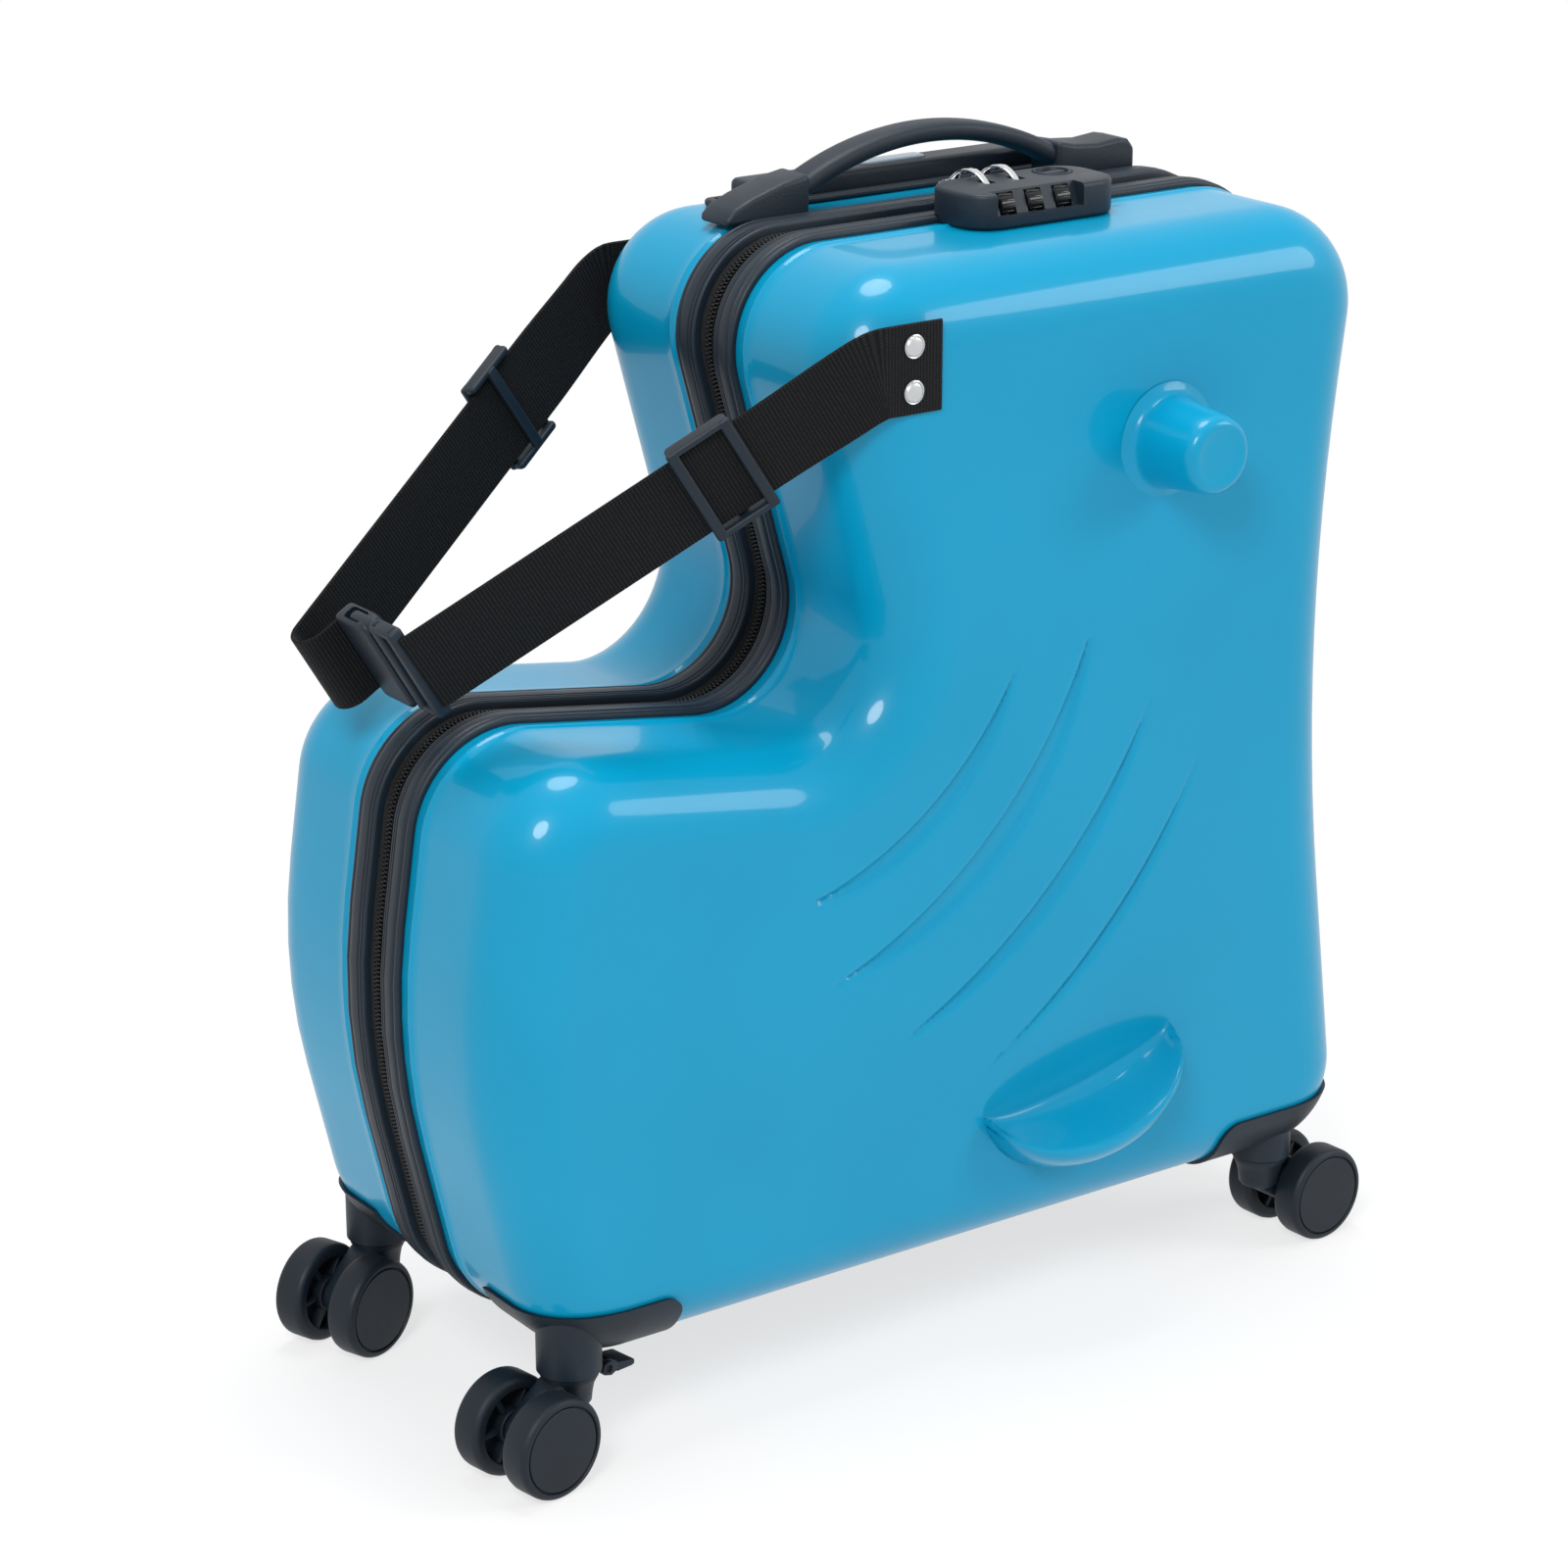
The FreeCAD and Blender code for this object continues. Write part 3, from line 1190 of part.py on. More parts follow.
def make_brackets(source):
    """Corner brackets that hug the shells' lower corners and carry the swivel bosses."""
    inner = rounded_slab(
        "bracket_seat", source, "seat_gap", "mouth", "half_depth + seat_gap", -1, "edge_round + seat_gap"
    )
    outer = rounded_slab(
        "bracket_face", source, "bracket_skin", "mouth", "half_depth + bracket_skin", -1, "edge_round + bracket_skin"
    )
    skin = boolean("Cut", "bracket_skin_right", outer, inner)
    spans = {"rear": ("tail_x - 20", "bracket_rear_end"), "front": ("bottom_front_x + 20", "bracket_front_end")}
    for end, (far, near) in spans.items():
        region = new_body(f"bracket_region_{end}")
        sketch = new_sketch(region, "XZ_Plane", ("0", "0", "bracket_inner"))
        corners = [(far, "0"), (near, "0"), (near, "bracket_top", "bracket_round"), (far, "bracket_top")]
        outline(sketch, corners)
        pad(region, sketch, "half_depth - bracket_inner + 2*bracket_skin")
        flange = boolean("Common", f"bracket_flange_{end}", region, skin)
        solid = boolean("Fuse", f"bracket_solid_{end}", flange, swivel_boss(end, inner))
        right = boolean("Cut", f"caster_bracket_{end}_right", solid, swivel_bore(end))
        keep(right)
        keep(mirrored(f"caster_bracket_{end}_left", right))


def swivel_boss(end, inner):
    """Boss under a bracket, trimmed to the shell's corner."""
    body = new_body(f"swivel_boss_{end}")
    sketch = new_sketch(body, "XY_Plane", ("0", "0", "fork_top + side_gap"))
    circle(sketch, f"stem_{end}_x", "-stem_y", "boss_radius")
    pad(body, sketch, "bracket_top - fork_top - side_gap")
    return boolean("Cut", f"swivel_boss_cut_{end}", body, inner)


def swivel_bore(end):
    """Blind bore for the swivel pin."""
    body = new_body(f"swivel_bore_{end}")
    sketch = new_sketch(body, "XY_Plane", ("0", "0", "fork_top"))
    circle(sketch, f"stem_{end}_x", "-stem_y", "pin_radius + running_fit")
    pad(body, sketch, "pin_long + side_gap")
    return body


def make_fork(name, braked):
    """Swivel fork: head plate, half-round skirt, blade to the axle and swivel pin."""
    body = new_body(f"caster_fork_{name}")
    head = new_sketch(body, "XY_Plane", ("0", "0", "fork_top - fork_cap"))
    circle(head, "0", "0", "fork_radius")
    pad(body, head, "fork_cap")
    skirt = new_sketch(body, "XY_Plane", ("0", "0", "fork_skirt"))
    half = "(fork_radius - 0.3)"
    outline(skirt, [(f"-{half}", f"-{half}", "8"), ("0", f"-{half}"), ("0", half), (f"-{half}", half, "8")])
    pad(body, skirt, "fork_top - fork_skirt - fork_cap/2")
    blade = new_sketch(body, "XZ_Plane", ("0", "0", "-fork_wide/2"))
    corners = [
        ("-fork_radius/2", "fork_top - fork_cap/2"),
        ("-fork_radius/2", "fork_skirt - 3", "4"),
        ("trail - axle_boss/2", "wheel_radius - axle_boss", "6"),
        ("trail + axle_boss", "wheel_radius - axle_boss", "axle_boss - 1"),
        ("trail + axle_boss", "wheel_radius + axle_boss", "axle_boss - 1"),
        ("fork_radius - 1", "fork_top - fork_cap/2"),
    ]
    outline(blade, corners)
    pad(body, blade, "fork_wide")
    pin = new_sketch(body, "XY_Plane", ("0", "0", "fork_top - fork_cap/2"))
    circle(pin, "0", "0", "pin_radius")
    pad(body, pin, "pin_long + fork_cap/2")
    bore = new_sketch(body, "XZ_Plane", ("0", "0", "-fork_wide/2 - 1"))
    circle(bore, "trail", "wheel_radius", "axle_radius + running_fit")
    pocket(body, bore, "fork_wide + 2", backward=True)
    if braked:
        add_brake_ear(body)
    body.Placement = caster_placement(name)
    keep(body)


def add_brake_ear(body):
    """Ear behind the skirt with the pin that the brake pedal turns on."""
    ear = new_sketch(body, "XZ_Plane", ("0", "0", "-brake_ear/2"))
    low, high = "brake_z - brake_pin - 0.8", "brake_z + brake_pin + 0.8"
    rectangle(ear, "-brake_x - brake_pin", "-fork_radius/2", low, high)
    pad(body, ear, "brake_ear")
    pin = new_sketch(body, "XZ_Plane", ("0", "0", "-brake_wide/2"))
    circle(pin, "-brake_x", "brake_z", "brake_pin")
    pad(body, pin, "brake_wide")


def make_brake(name):
    """Brake pedal: an eye on each side of the ear and a foot plate."""
    body = new_body(f"caster_brake_{name}")
    plate = new_sketch(body, "XZ_Plane", ("0", "0", "-brake_wide/2"))
    end = "-brake_x - brake_long"
    corners = [
        (end, "brake_z - brake_sheet", "1.2"),
        ("-brake_x", "brake_z - brake_eye", "1.2"),
        ("-brake_x + brake_eye", "brake_z", "1.2"),
        ("-brake_x", "brake_z + brake_eye", "1.2"),
        (end, "brake_z", "1.2"),
    ]
    outline(plate, corners)
    pad(body, plate, "brake_wide")
    slot = new_sketch(body, "XY_Plane", ("0", "0", "brake_z - 2*brake_eye"))
    half = "(brake_ear/2 + side_gap)"
    rectangle(slot, "-brake_x - brake_eye - 1.5", "0", f"-{half}", half)
    pocket(body, slot, "4*brake_eye", backward=True)
    eye = new_sketch(body, "XZ_Plane", ("0", "0", "-brake_wide/2 - 1"))
    circle(eye, "-brake_x", "brake_z", "brake_pin + running_fit")
    pocket(body, eye, "brake_wide + 2", backward=True)
    body.Placement = caster_placement(name)
    keep(body)


def make_wheel(name, which, way):
    """One wheel: rounded tread, dished inner side, hub and a blind bore for the axle."""
    body = new_body(f"caster_wheel_{name}_{which}")
    sketch = new_sketch(body, "XY_Plane", ("trail", "0", "wheel_radius"))
    inner = f"{way}*(fork_wide/2 + wheel_gap)"
    dish = f"{way}*(fork_wide/2 + wheel_gap + wheel_dish)"
    outer = f"{way}*(fork_wide/2 + wheel_gap + wheel_wide)"
    blind = f"{way}*(fork_wide/2 + wheel_gap + wheel_wide - axle_cover)"
    corners = [
        ("0", blind),
        ("axle_radius + running_fit", blind),
        ("axle_radius + running_fit", inner),
        ("wheel_hub", inner),
        ("wheel_hub", dish),
        ("wheel_rim", dish),
        ("wheel_rim", inner),
        ("wheel_radius", inner, "wheel_round"),
        ("wheel_radius", outer, "wheel_round"),
        ("0", outer),
    ]
    outline(sketch, corners)
    revolve(body, sketch)
    body.Placement = caster_placement(name)
    keep(body)


def make_axle(name):
    body = new_body(f"caster_axle_{name}")
    half = "(fork_wide/2 + wheel_gap + wheel_wide - axle_cover - side_gap)"
    sketch = new_sketch(body, "XZ_Plane", ("0", "0", f"-{half}"))
    circle(sketch, "trail", "wheel_radius", "axle_radius")
    pad(body, sketch, f"2*{half}")
    body.Placement = caster_placement(name)
    keep(body)


def make_casters(source):
    make_brackets(source)
    for name, (_, _, _, braked) in CASTERS.items():
        make_fork(name, braked)
        make_axle(name)
        make_wheel(name, "a", -1)
        make_wheel(name, "b", 1)
        if braked:
            make_brake(name)


def main():
    """Build every sub-part, check the document and write one STEP file for each node."""
    fill_sheet()
    source = case_outline()
    for name, side in SIDES.items():
        make_shell(name, side)
        make_rim(name, side, source)
        make_lining(name, side, source)
        make_hinge_tape(name, side, source)
    make_packing_straps()
    make_lock()
    make_dials()
    make_key_cylinder()
    make_zip_sliders()
    make_zip_pulls()
    make_carry_handle()
    make_trolley()
    make_belts()
    for name, side in SIDES.items():
        make_rivets(name, side)
        make_belt_slider(name, side)
    make_buckle()
    make_casters(source)
    doc.recompute()
    check_document()
    write_nodes()


def check_document():
    """Stop if any object failed or any sub-part has no sound shape."""
    for thing in doc.Objects:
        if "Invalid" in thing.State or "Error" in thing.State:
            raise RuntimeError(f"{thing.Label} failed: {thing.State}")
    for node in nodes:
        if node.Shape.isNull() or not node.Shape.isValid() or not node.Shape.Solids:
            raise RuntimeError(f"{node.Label} has no sound shape")


def write_nodes():
    os.makedirs("parts", exist_ok=True)
    for node in nodes:
        node.Shape.exportStep(os.path.join("parts", node.Label + ".step"))
    print(len(nodes), "nodes written")


main()
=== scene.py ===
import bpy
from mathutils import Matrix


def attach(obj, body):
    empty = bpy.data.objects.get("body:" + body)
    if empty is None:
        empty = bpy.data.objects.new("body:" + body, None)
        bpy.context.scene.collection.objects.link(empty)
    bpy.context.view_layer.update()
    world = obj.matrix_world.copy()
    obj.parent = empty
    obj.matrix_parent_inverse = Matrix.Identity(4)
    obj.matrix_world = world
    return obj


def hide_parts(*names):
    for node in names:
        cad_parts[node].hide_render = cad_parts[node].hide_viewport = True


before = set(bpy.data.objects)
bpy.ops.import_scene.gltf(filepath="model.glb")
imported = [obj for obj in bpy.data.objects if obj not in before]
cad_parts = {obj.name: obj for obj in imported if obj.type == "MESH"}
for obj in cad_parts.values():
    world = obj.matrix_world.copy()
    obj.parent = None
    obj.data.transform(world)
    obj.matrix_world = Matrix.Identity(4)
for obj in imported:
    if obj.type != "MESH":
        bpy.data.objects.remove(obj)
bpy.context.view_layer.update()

import math
from collections import namedtuple

import bmesh
import bpy
from bpy.props import FloatProperty, FloatVectorProperty, PointerProperty
from mathutils import Matrix, Vector

bl_info = {
    "name": "Ride-on case",
    "version": (1, 0, 0),
    "blender": (4, 5, 0),
    "location": "View3D > Sidebar > Ride-on case",
    "description": "Dresses the packed ride-on suitcase with its finished pieces and a studio",
    "category": "Object",
}

# Every size below is in millimetres, apart from the studio's and the property groups', in metres
MM = 0.001
SIDES = {"right": -1, "left": 1}
TOP = 493.5
BOTTOM = 48.0
# Distance within which a point counts as lying on a plane or at a run's end
NEAR = 0.01

# Outline of the case at the seam, from the lower front corner up the front and back: x, z and round
CORNERS = [
    (243.0, BOTTOM, 40.0),
    (210.5, BOTTOM + 252.0, 900.0),
    (236.0, TOP, 45.0),
    (-71.5, TOP, 42.0),
    (-14.5, BOTTOM + 239.0, 44.0),
    (-212.0, BOTTOM + 268.5, 45.0),
    (-232.0, BOTTOM + 135.0, 260.0),
    (-200.5, BOTTOM, 48.0),
]


def linear(hex_code):
    """An sRGB hex colour as linear RGB."""
    channels = [int(hex_code[i:i + 2], 16) / 255 for i in (1, 3, 5)]
    return tuple(c / 12.92 if c <= 0.04045 else ((c + 0.055) / 1.055) ** 2.4 for c in channels)


def size_property(name, description, default):
    """A length for the sidebar."""
    return FloatProperty(name=name, description=description, default=default, unit="LENGTH")


def colour_property(name, description, hex_code):
    """A colour for the sidebar."""
    return FloatVectorProperty(name=name, description=description, subtype="COLOR", default=linear(hex_code))


class CaseSizes(bpy.types.PropertyGroup):
    """Sizes of the dressed pieces"""

    half_depth: size_property("Half depth", "Seam plane to the outer panel", 0.1)
    wall: size_property("Wall", "Shell thickness", 0.0025)
    edge_round: size_property("Edge round", "Round between rim wall and panel", 0.032)
    crown: size_property("Crown", "Bulge of the panel's middle", 0.0012)
    groove: size_property("Groove", "Depth of the moulded ripples", 0.0026)
    tooth_pitch: size_property("Tooth pitch", "Spacing of the zip coil's loops", 0.0019)
    webbing: size_property("Webbing", "Width of the belt", 0.038)
    wheel: size_property("Wheel", "Radius of the caster wheels", 0.0225)


class CaseColours(bpy.types.PropertyGroup):
    """Colours of the dressed pieces"""

    shell: colour_property("Shell", "Moulded shells", "#008EB6")
    rubber: colour_property("Trim", "Rim trim and carry grip", "#131F2A")
    plastic: colour_property("Fittings", "Lock, brackets and handles", "#131E28")
    webbing: colour_property("Webbing", "Belt and straps", "#15171A")
    lining: colour_property("Lining", "Inner lining", "#5A5F66")
    floor: colour_property("Floor", "Studio floor", "#FAFAFA")


def millimetres(name):
    """One of the sizes, in millimetres."""
    return getattr(bpy.context.scene.case_sizes, name) / MM


def lifted(point, y=0.0):
    """A point or direction of the outline's plane, in space."""
    return Vector((point.x, y, point.y))


# Path round the case

Run = namedtuple("Run", "kind start heading length before turn radius")


def outline_runs():
    """Straight and round runs of the outline, from the middle of the underside, and its whole length."""
    points = [Vector((x, z)) for x, z, _ in CORNERS]
    bends = []
    for index, (_, _, radius) in enumerate(CORNERS):
        first = (points[index] - points[index - 1]).normalized()
        second = (points[(index + 1) % len(points)] - points[index]).normalized()
        turn = math.atan2(first.cross(second), first.dot(second))
        reach = radius * math.tan(abs(turn) / 2)
        bends.append((points[index] - first * reach, points[index] + second * reach, first, turn, radius))
    middle = (bends[-1][1] + bends[0][0]) / 2
    runs = []
    at = middle
    travelled = 0.0
    for start, end, heading, turn, radius in bends:
        runs.append(Run("line", at, heading, (start - at).length, travelled, None, None))
        travelled += (start - at).length
        runs.append(Run("arc", start, heading, abs(turn) * radius, travelled, turn, radius))
        travelled += abs(turn) * radius
        at = end
    runs.append(Run("line", at, Vector((1, 0)), (middle - at).length, travelled, None, None))
    return runs, travelled + (middle - at).length


RUNS, AROUND = outline_runs()


def centre_of(run):
    """Centre of a round run."""
    return run.start + Vector((-run.heading.y, run.heading.x)) * math.copysign(run.radius, run.turn)


def locate(x, z):
    """Distance along the outline and distance outside it (negative inside) of a point."""
    point = Vector((x, z))
    best = (math.inf, 0.0, 0.0)
    for run in RUNS:
        if run.kind == "line":
            along = (point - run.start).dot(run.heading)
            out = (point - run.start).dot(Vector((run.heading.y, -run.heading.x)))
        else:
            way = math.copysign(1, run.turn)
            spoke = point - centre_of(run)
            first = run.start - centre_of(run)
            along = way * math.atan2(first.cross(spoke), first.dot(spoke)) * run.radius
            out = way * (spoke.length - run.radius)
        if -NEAR <= along <= run.length + NEAR and abs(out) < best[0]:
            best = (abs(out), run.before + along, out)
    return best[1], best[2]


def place_at(distance):
    """Point, heading and outward direction at a distance along the outline."""
    distance %= AROUND
    run = next(r for r in reversed(RUNS) if r.before <= distance + 1e-9)
    ahead = distance - run.before
    if run.kind == "line":
        heading = run.heading
        point = run.start + heading * ahead
    else:
        turn = Matrix.Rotation(math.copysign(ahead / run.radius, run.turn), 2)
        heading = turn @ run.heading
        point = centre_of(run) + turn @ (run.start - centre_of(run))
    return point, heading, Vector((heading.y, -heading.x))


def sweep(bm, profile, side, closed=True, pitch=16.0, bend=5.0):
    """Carry a profile of (out, depth) points once round the case."""
    start = RUNS[0].start
    ring = [bm.verts.new((start.x, side * depth, start.y - out)) for out, depth in profile]
    pairs = list(zip(ring, ring[1:])) + ([(ring[-1], ring[0])] if closed else [])
    geometry = ring + [bm.edges.new(pair) for pair in pairs]
    for run in RUNS:
        if run.length < 1e-6:
            continue
        if run.kind == "line":
            steps = max(1, round(run.length / pitch))
            shift = run.heading * (run.length / steps)
            way = dict(cent=(0, 0, 0), angle=0.0, dvec=lifted(shift))
        else:
            steps = max(2, round(math.degrees(abs(run.turn)) / bend), round(run.length / (2 * pitch)))
            way = dict(cent=lifted(centre_of(run)), angle=run.turn)
        spun_on = bmesh.ops.spin(bm, geom=geometry, axis=(0, -1, 0), steps=steps, use_duplicate=False, **way)
        geometry = spun_on["geom_last"]
    bmesh.ops.remove_doubles(bm, verts=bm.verts, dist=0.002)


def run_uv(bm):
    """UV map along the outline, in metres, for patterns that follow the rim."""
    layer = bm.loops.layers.uv.new("rim")
    for face in bm.faces:
        spots = [locate(loop.vert.co.x, loop.vert.co.z)[0] for loop in face.loops]
        far = max(spots) - min(spots) > AROUND / 2
        for loop, spot in zip(face.loops, spots):
            if far and spot < AROUND / 2:
                spot += AROUND
            loop[layer].uv = (spot * MM, loop.vert.co.y * MM)


def open_edges(bm, depth):
    """Open edges at a distance from the seam plane."""
    return [e for e in bm.edges if e.is_boundary and all(abs(abs(v.co.y) - depth) < NEAR for v in e.verts)]


def thicken(bm, side, thickness):
    """Give an open skin its thickness, after turning it so that its panel faces away from the seam."""
    bmesh.ops.recalc_face_normals(bm, faces=bm.faces)
    panel = max(bm.faces, key=lambda f: abs(f.calc_center_median().y))
    if panel.normal.y * side < 0:
        bmesh.ops.reverse_faces(bm, faces=bm.faces)
    bmesh.ops.solidify(bm, geom=bm.faces[:], thickness=thickness)


# Finished pieces


def settle(bm, name, body, look, node=None, smooth=35.0):
    """Turn a mesh in millimetres into a finished piece that rides on a body."""
    bmesh.ops.recalc_face_normals(bm, faces=bm.faces)
    bmesh.ops.scale(bm, vec=(MM, MM, MM), verts=bm.verts)
    mesh = bpy.data.meshes.new(name)
    bm.to_mesh(mesh)
    bm.free()
    mesh.shade_smooth()
    mesh.set_sharp_from_angle(angle=math.radians(smooth))
    mesh.materials.append(finish(look))
    piece = bpy.data.objects.new(name, mesh)
    bpy.context.scene.collection.objects.link(piece)
    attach(piece, body)
    if node:
        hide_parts(node)
    return piece


def repaint(node, look):
    """Give a kept solid its finish."""
    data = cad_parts[node].data
    data.materials.clear()
    data.materials.append(finish(look))


# Materials

# Scales of the noise and wave textures that give features one millimetre apart
NOISE = 1000.0
WAVE = 1000 * math.tau / 20
# How much paler than its colour a convex edge is, and how much paler a thread's crown is painted at full
# contrast, as a painted highlight
EDGE_PALER = 2.2
CROWN_HIGHLIGHT = 1.6


def wire(tree, node, inputs):
    """Set a node's inputs, each to a value or to a socket that is linked to it."""
    for key, feed in inputs.items():
        if isinstance(feed, bpy.types.NodeSocket):
            tree.links.new(feed, node.inputs[key])
        else:
            node.inputs[key].default_value = feed
    return node


def add(tree, kind, inputs=None, **settings):
    """Add a node with its settings, values and links."""
    node = tree.nodes.new("ShaderNode" + kind)
    for key, setting in settings.items():
        setattr(node, key, setting)
    return wire(tree, node, inputs or {})


def new_material(name):
    """A new material, its node tree and its Principled shader."""
    material = bpy.data.materials.new(name)
    material.use_nodes = True
    tree = material.node_tree
    return material, tree, tree.nodes["Principled BSDF"]


def shell_gloss():
    """High-gloss moulded polycarbonate: a deep even colour, a faint orange-peel ripple in its reflections."""
    colour = bpy.context.scene.case_colours.shell
    material, tree, shader = new_material("moulded_polycarbonate")
    place = add(tree, "TexCoord").outputs["Object"]
    drift = add(tree, "TexNoise", {"Vector": place, "Scale": NOISE / 111.0, "Detail": 2.0}).outputs["Fac"]
    tint = add(tree, "ValToRGB", {"Fac": drift})
    for stop, position, level in zip(tint.color_ramp.elements, (0.3, 0.7), (0.96, 1.03)):
        stop.position = position
        stop.color = (*(min(1, c * level) for c in colour), 1)
    # Ripples 18 mm apart: real ones are finer and would not show
    peel = add(tree, "TexNoise", {"Vector": place, "Scale": NOISE / 18.2, "Detail": 1.0}).outputs["Fac"]
    bump = add(tree, "Bump", {"Height": peel, "Strength": 0.03, "Distance": 0.002})
    wire(tree, shader, {
        "Base Color": tint.outputs["Color"], "Normal": bump.outputs["Normal"], "Roughness": 0.32, "IOR": 1.58,
        "Specular IOR Level": 0.1, "Coat Weight": 0.3, "Coat Roughness": 0.06})
    return material


def grained(name, colour, roughness, grain_mm, strength, spread=0.08):
    """Moulded or extruded plastic or rubber: fine even grain, convex edges a little paler."""
    material, tree, shader = new_material(name)
    place = add(tree, "TexCoord").outputs["Object"]
    # A real grain is about 0.1 mm: the grain here is coarser, so that it shows
    fine = {"Vector": place, "Scale": NOISE / (2 * grain_mm), "Detail": 3.0}
    grain = add(tree, "TexNoise", fine).outputs["Fac"]
    cloud = add(tree, "TexNoise", {"Vector": place, "Scale": NOISE / 28.6, "Detail": 3.0}).outputs["Fac"]
    # Convex edges, found by their pointiness, are drawn a little paler than the colour
    pointiness = add(tree, "NewGeometry").outputs["Pointiness"]
    paler = add(tree, "MapRange", {"Value": pointiness, "From Min": 0.52, "From Max": 0.62, "To Max": 0.35})
    edge_colour = [min(1, c * EDGE_PALER) for c in colour]
    tones = {"Factor": paler.outputs[0], "A": (*colour, 1), "B": (*edge_colour, 1)}
    shade = add(tree, "Mix", tones, data_type="RGBA")
    gloss = add(tree, "MapRange", {"Value": cloud, "From Min": 0.3, "From Max": 0.7,
                                   "To Min": roughness - spread / 2, "To Max": roughness + spread / 2})
    bump = add(tree, "Bump", {"Height": grain, "Strength": strength, "Distance": 0.0004})
    wire(tree, shader, {
        "Base Color": shade.outputs["Result"], "Normal": bump.outputs["Normal"],
        "Roughness": gloss.outputs[0], "IOR": 1.5, "Specular IOR Level": 0.3})
    return material


def woven(name, colour, uv, rib_mm, thread_mm, painted_contrast, lean=0.0):
    """Woven polyester: ribs one way, threads the other, in relief, with painted highlight on the crowns and
    painted shade in the gaps, drawn coarse enough to show.
    """
    material, tree, shader = new_material(name)
    place = add(tree, "UVMap", uv_map=uv).outputs["UV"] if uv else add(tree, "TexCoord").outputs["Object"]
    turned = add(tree, "Mapping", {"Vector": place, "Rotation": (0, 0, lean)}).outputs["Vector"]
    rib = add(tree, "TexWave", {"Vector": turned, "Scale": WAVE / rib_mm, "Distortion": 0.4, "Detail": 1.0},
              bands_direction="X").outputs["Fac"]
    thread = add(tree, "TexWave", {"Vector": turned, "Scale": WAVE / thread_mm, "Distortion": 0.4},
                 bands_direction="Y").outputs["Fac"]
    weave = add(tree, "Math", {0: rib, 1: thread}, operation="MULTIPLY").outputs[0]
    fuzz = add(tree, "TexNoise", {"Vector": turned, "Scale": NOISE / 1.11, "Detail": 2.0}).outputs["Fac"]
    mixed = add(tree, "Math", {0: weave, 1: fuzz}, operation="MULTIPLY").outputs[0]
    # Painted light: each thread's crown is painted paler as a highlight and the gaps between threads darker
    # as shade, broken up by the fuzz
    painted_shading = add(tree, "ValToRGB", {"Fac": mixed})
    low, high = painted_shading.color_ramp.elements
    low.color = (*(c * (1 - painted_contrast) for c in colour), 1)
    high.position = 0.6
    high.color = (*(min(1, c * (1 + CROWN_HIGHLIGHT * painted_contrast)) for c in colour), 1)
    bump = add(tree, "Bump", {"Height": weave, "Strength": 0.6, "Distance": 0.0004})
    wire(tree, shader, {
        "Base Color": painted_shading.outputs["Color"], "Normal": bump.outputs["Normal"], "Roughness": 0.8, "IOR": 1.45,
        "Specular IOR Level": 0.2, "Sheen Weight": 0.06, "Sheen Roughness": 0.4})
    return material


def bright_metal(name, colour, roughness, brush=(1.0, 1.0, 1.0), strength=0.02):
    """Plated or drawn metal: near-white reflections with faint lines along the way it was worked."""
    material, tree, shader = new_material(name)
    place = add(tree, "TexCoord").outputs["Object"]
    stretched = add(tree, "Mapping", {"Vector": place, "Scale": brush}).outputs["Vector"]
    # Lines 1.7 mm apart: real ones are finer and would not show
    lines = add(tree, "TexNoise", {"Vector": stretched, "Scale": NOISE / 1.67, "Detail": 4.0}).outputs["Fac"]
    gloss = add(tree, "MapRange", {"Value": lines, "From Min": 0.3, "From Max": 0.7,
                                   "To Min": roughness * 0.8, "To Max": roughness * 1.25})
    bump = add(tree, "Bump", {"Height": lines, "Strength": strength, "Distance": 0.0002})
    wire(tree, shader, {
        "Base Color": (*colour, 1), "Metallic": 1.0, "Roughness": gloss.outputs[0],
        "Normal": bump.outputs["Normal"]})
    return material


MATERIALS = {}


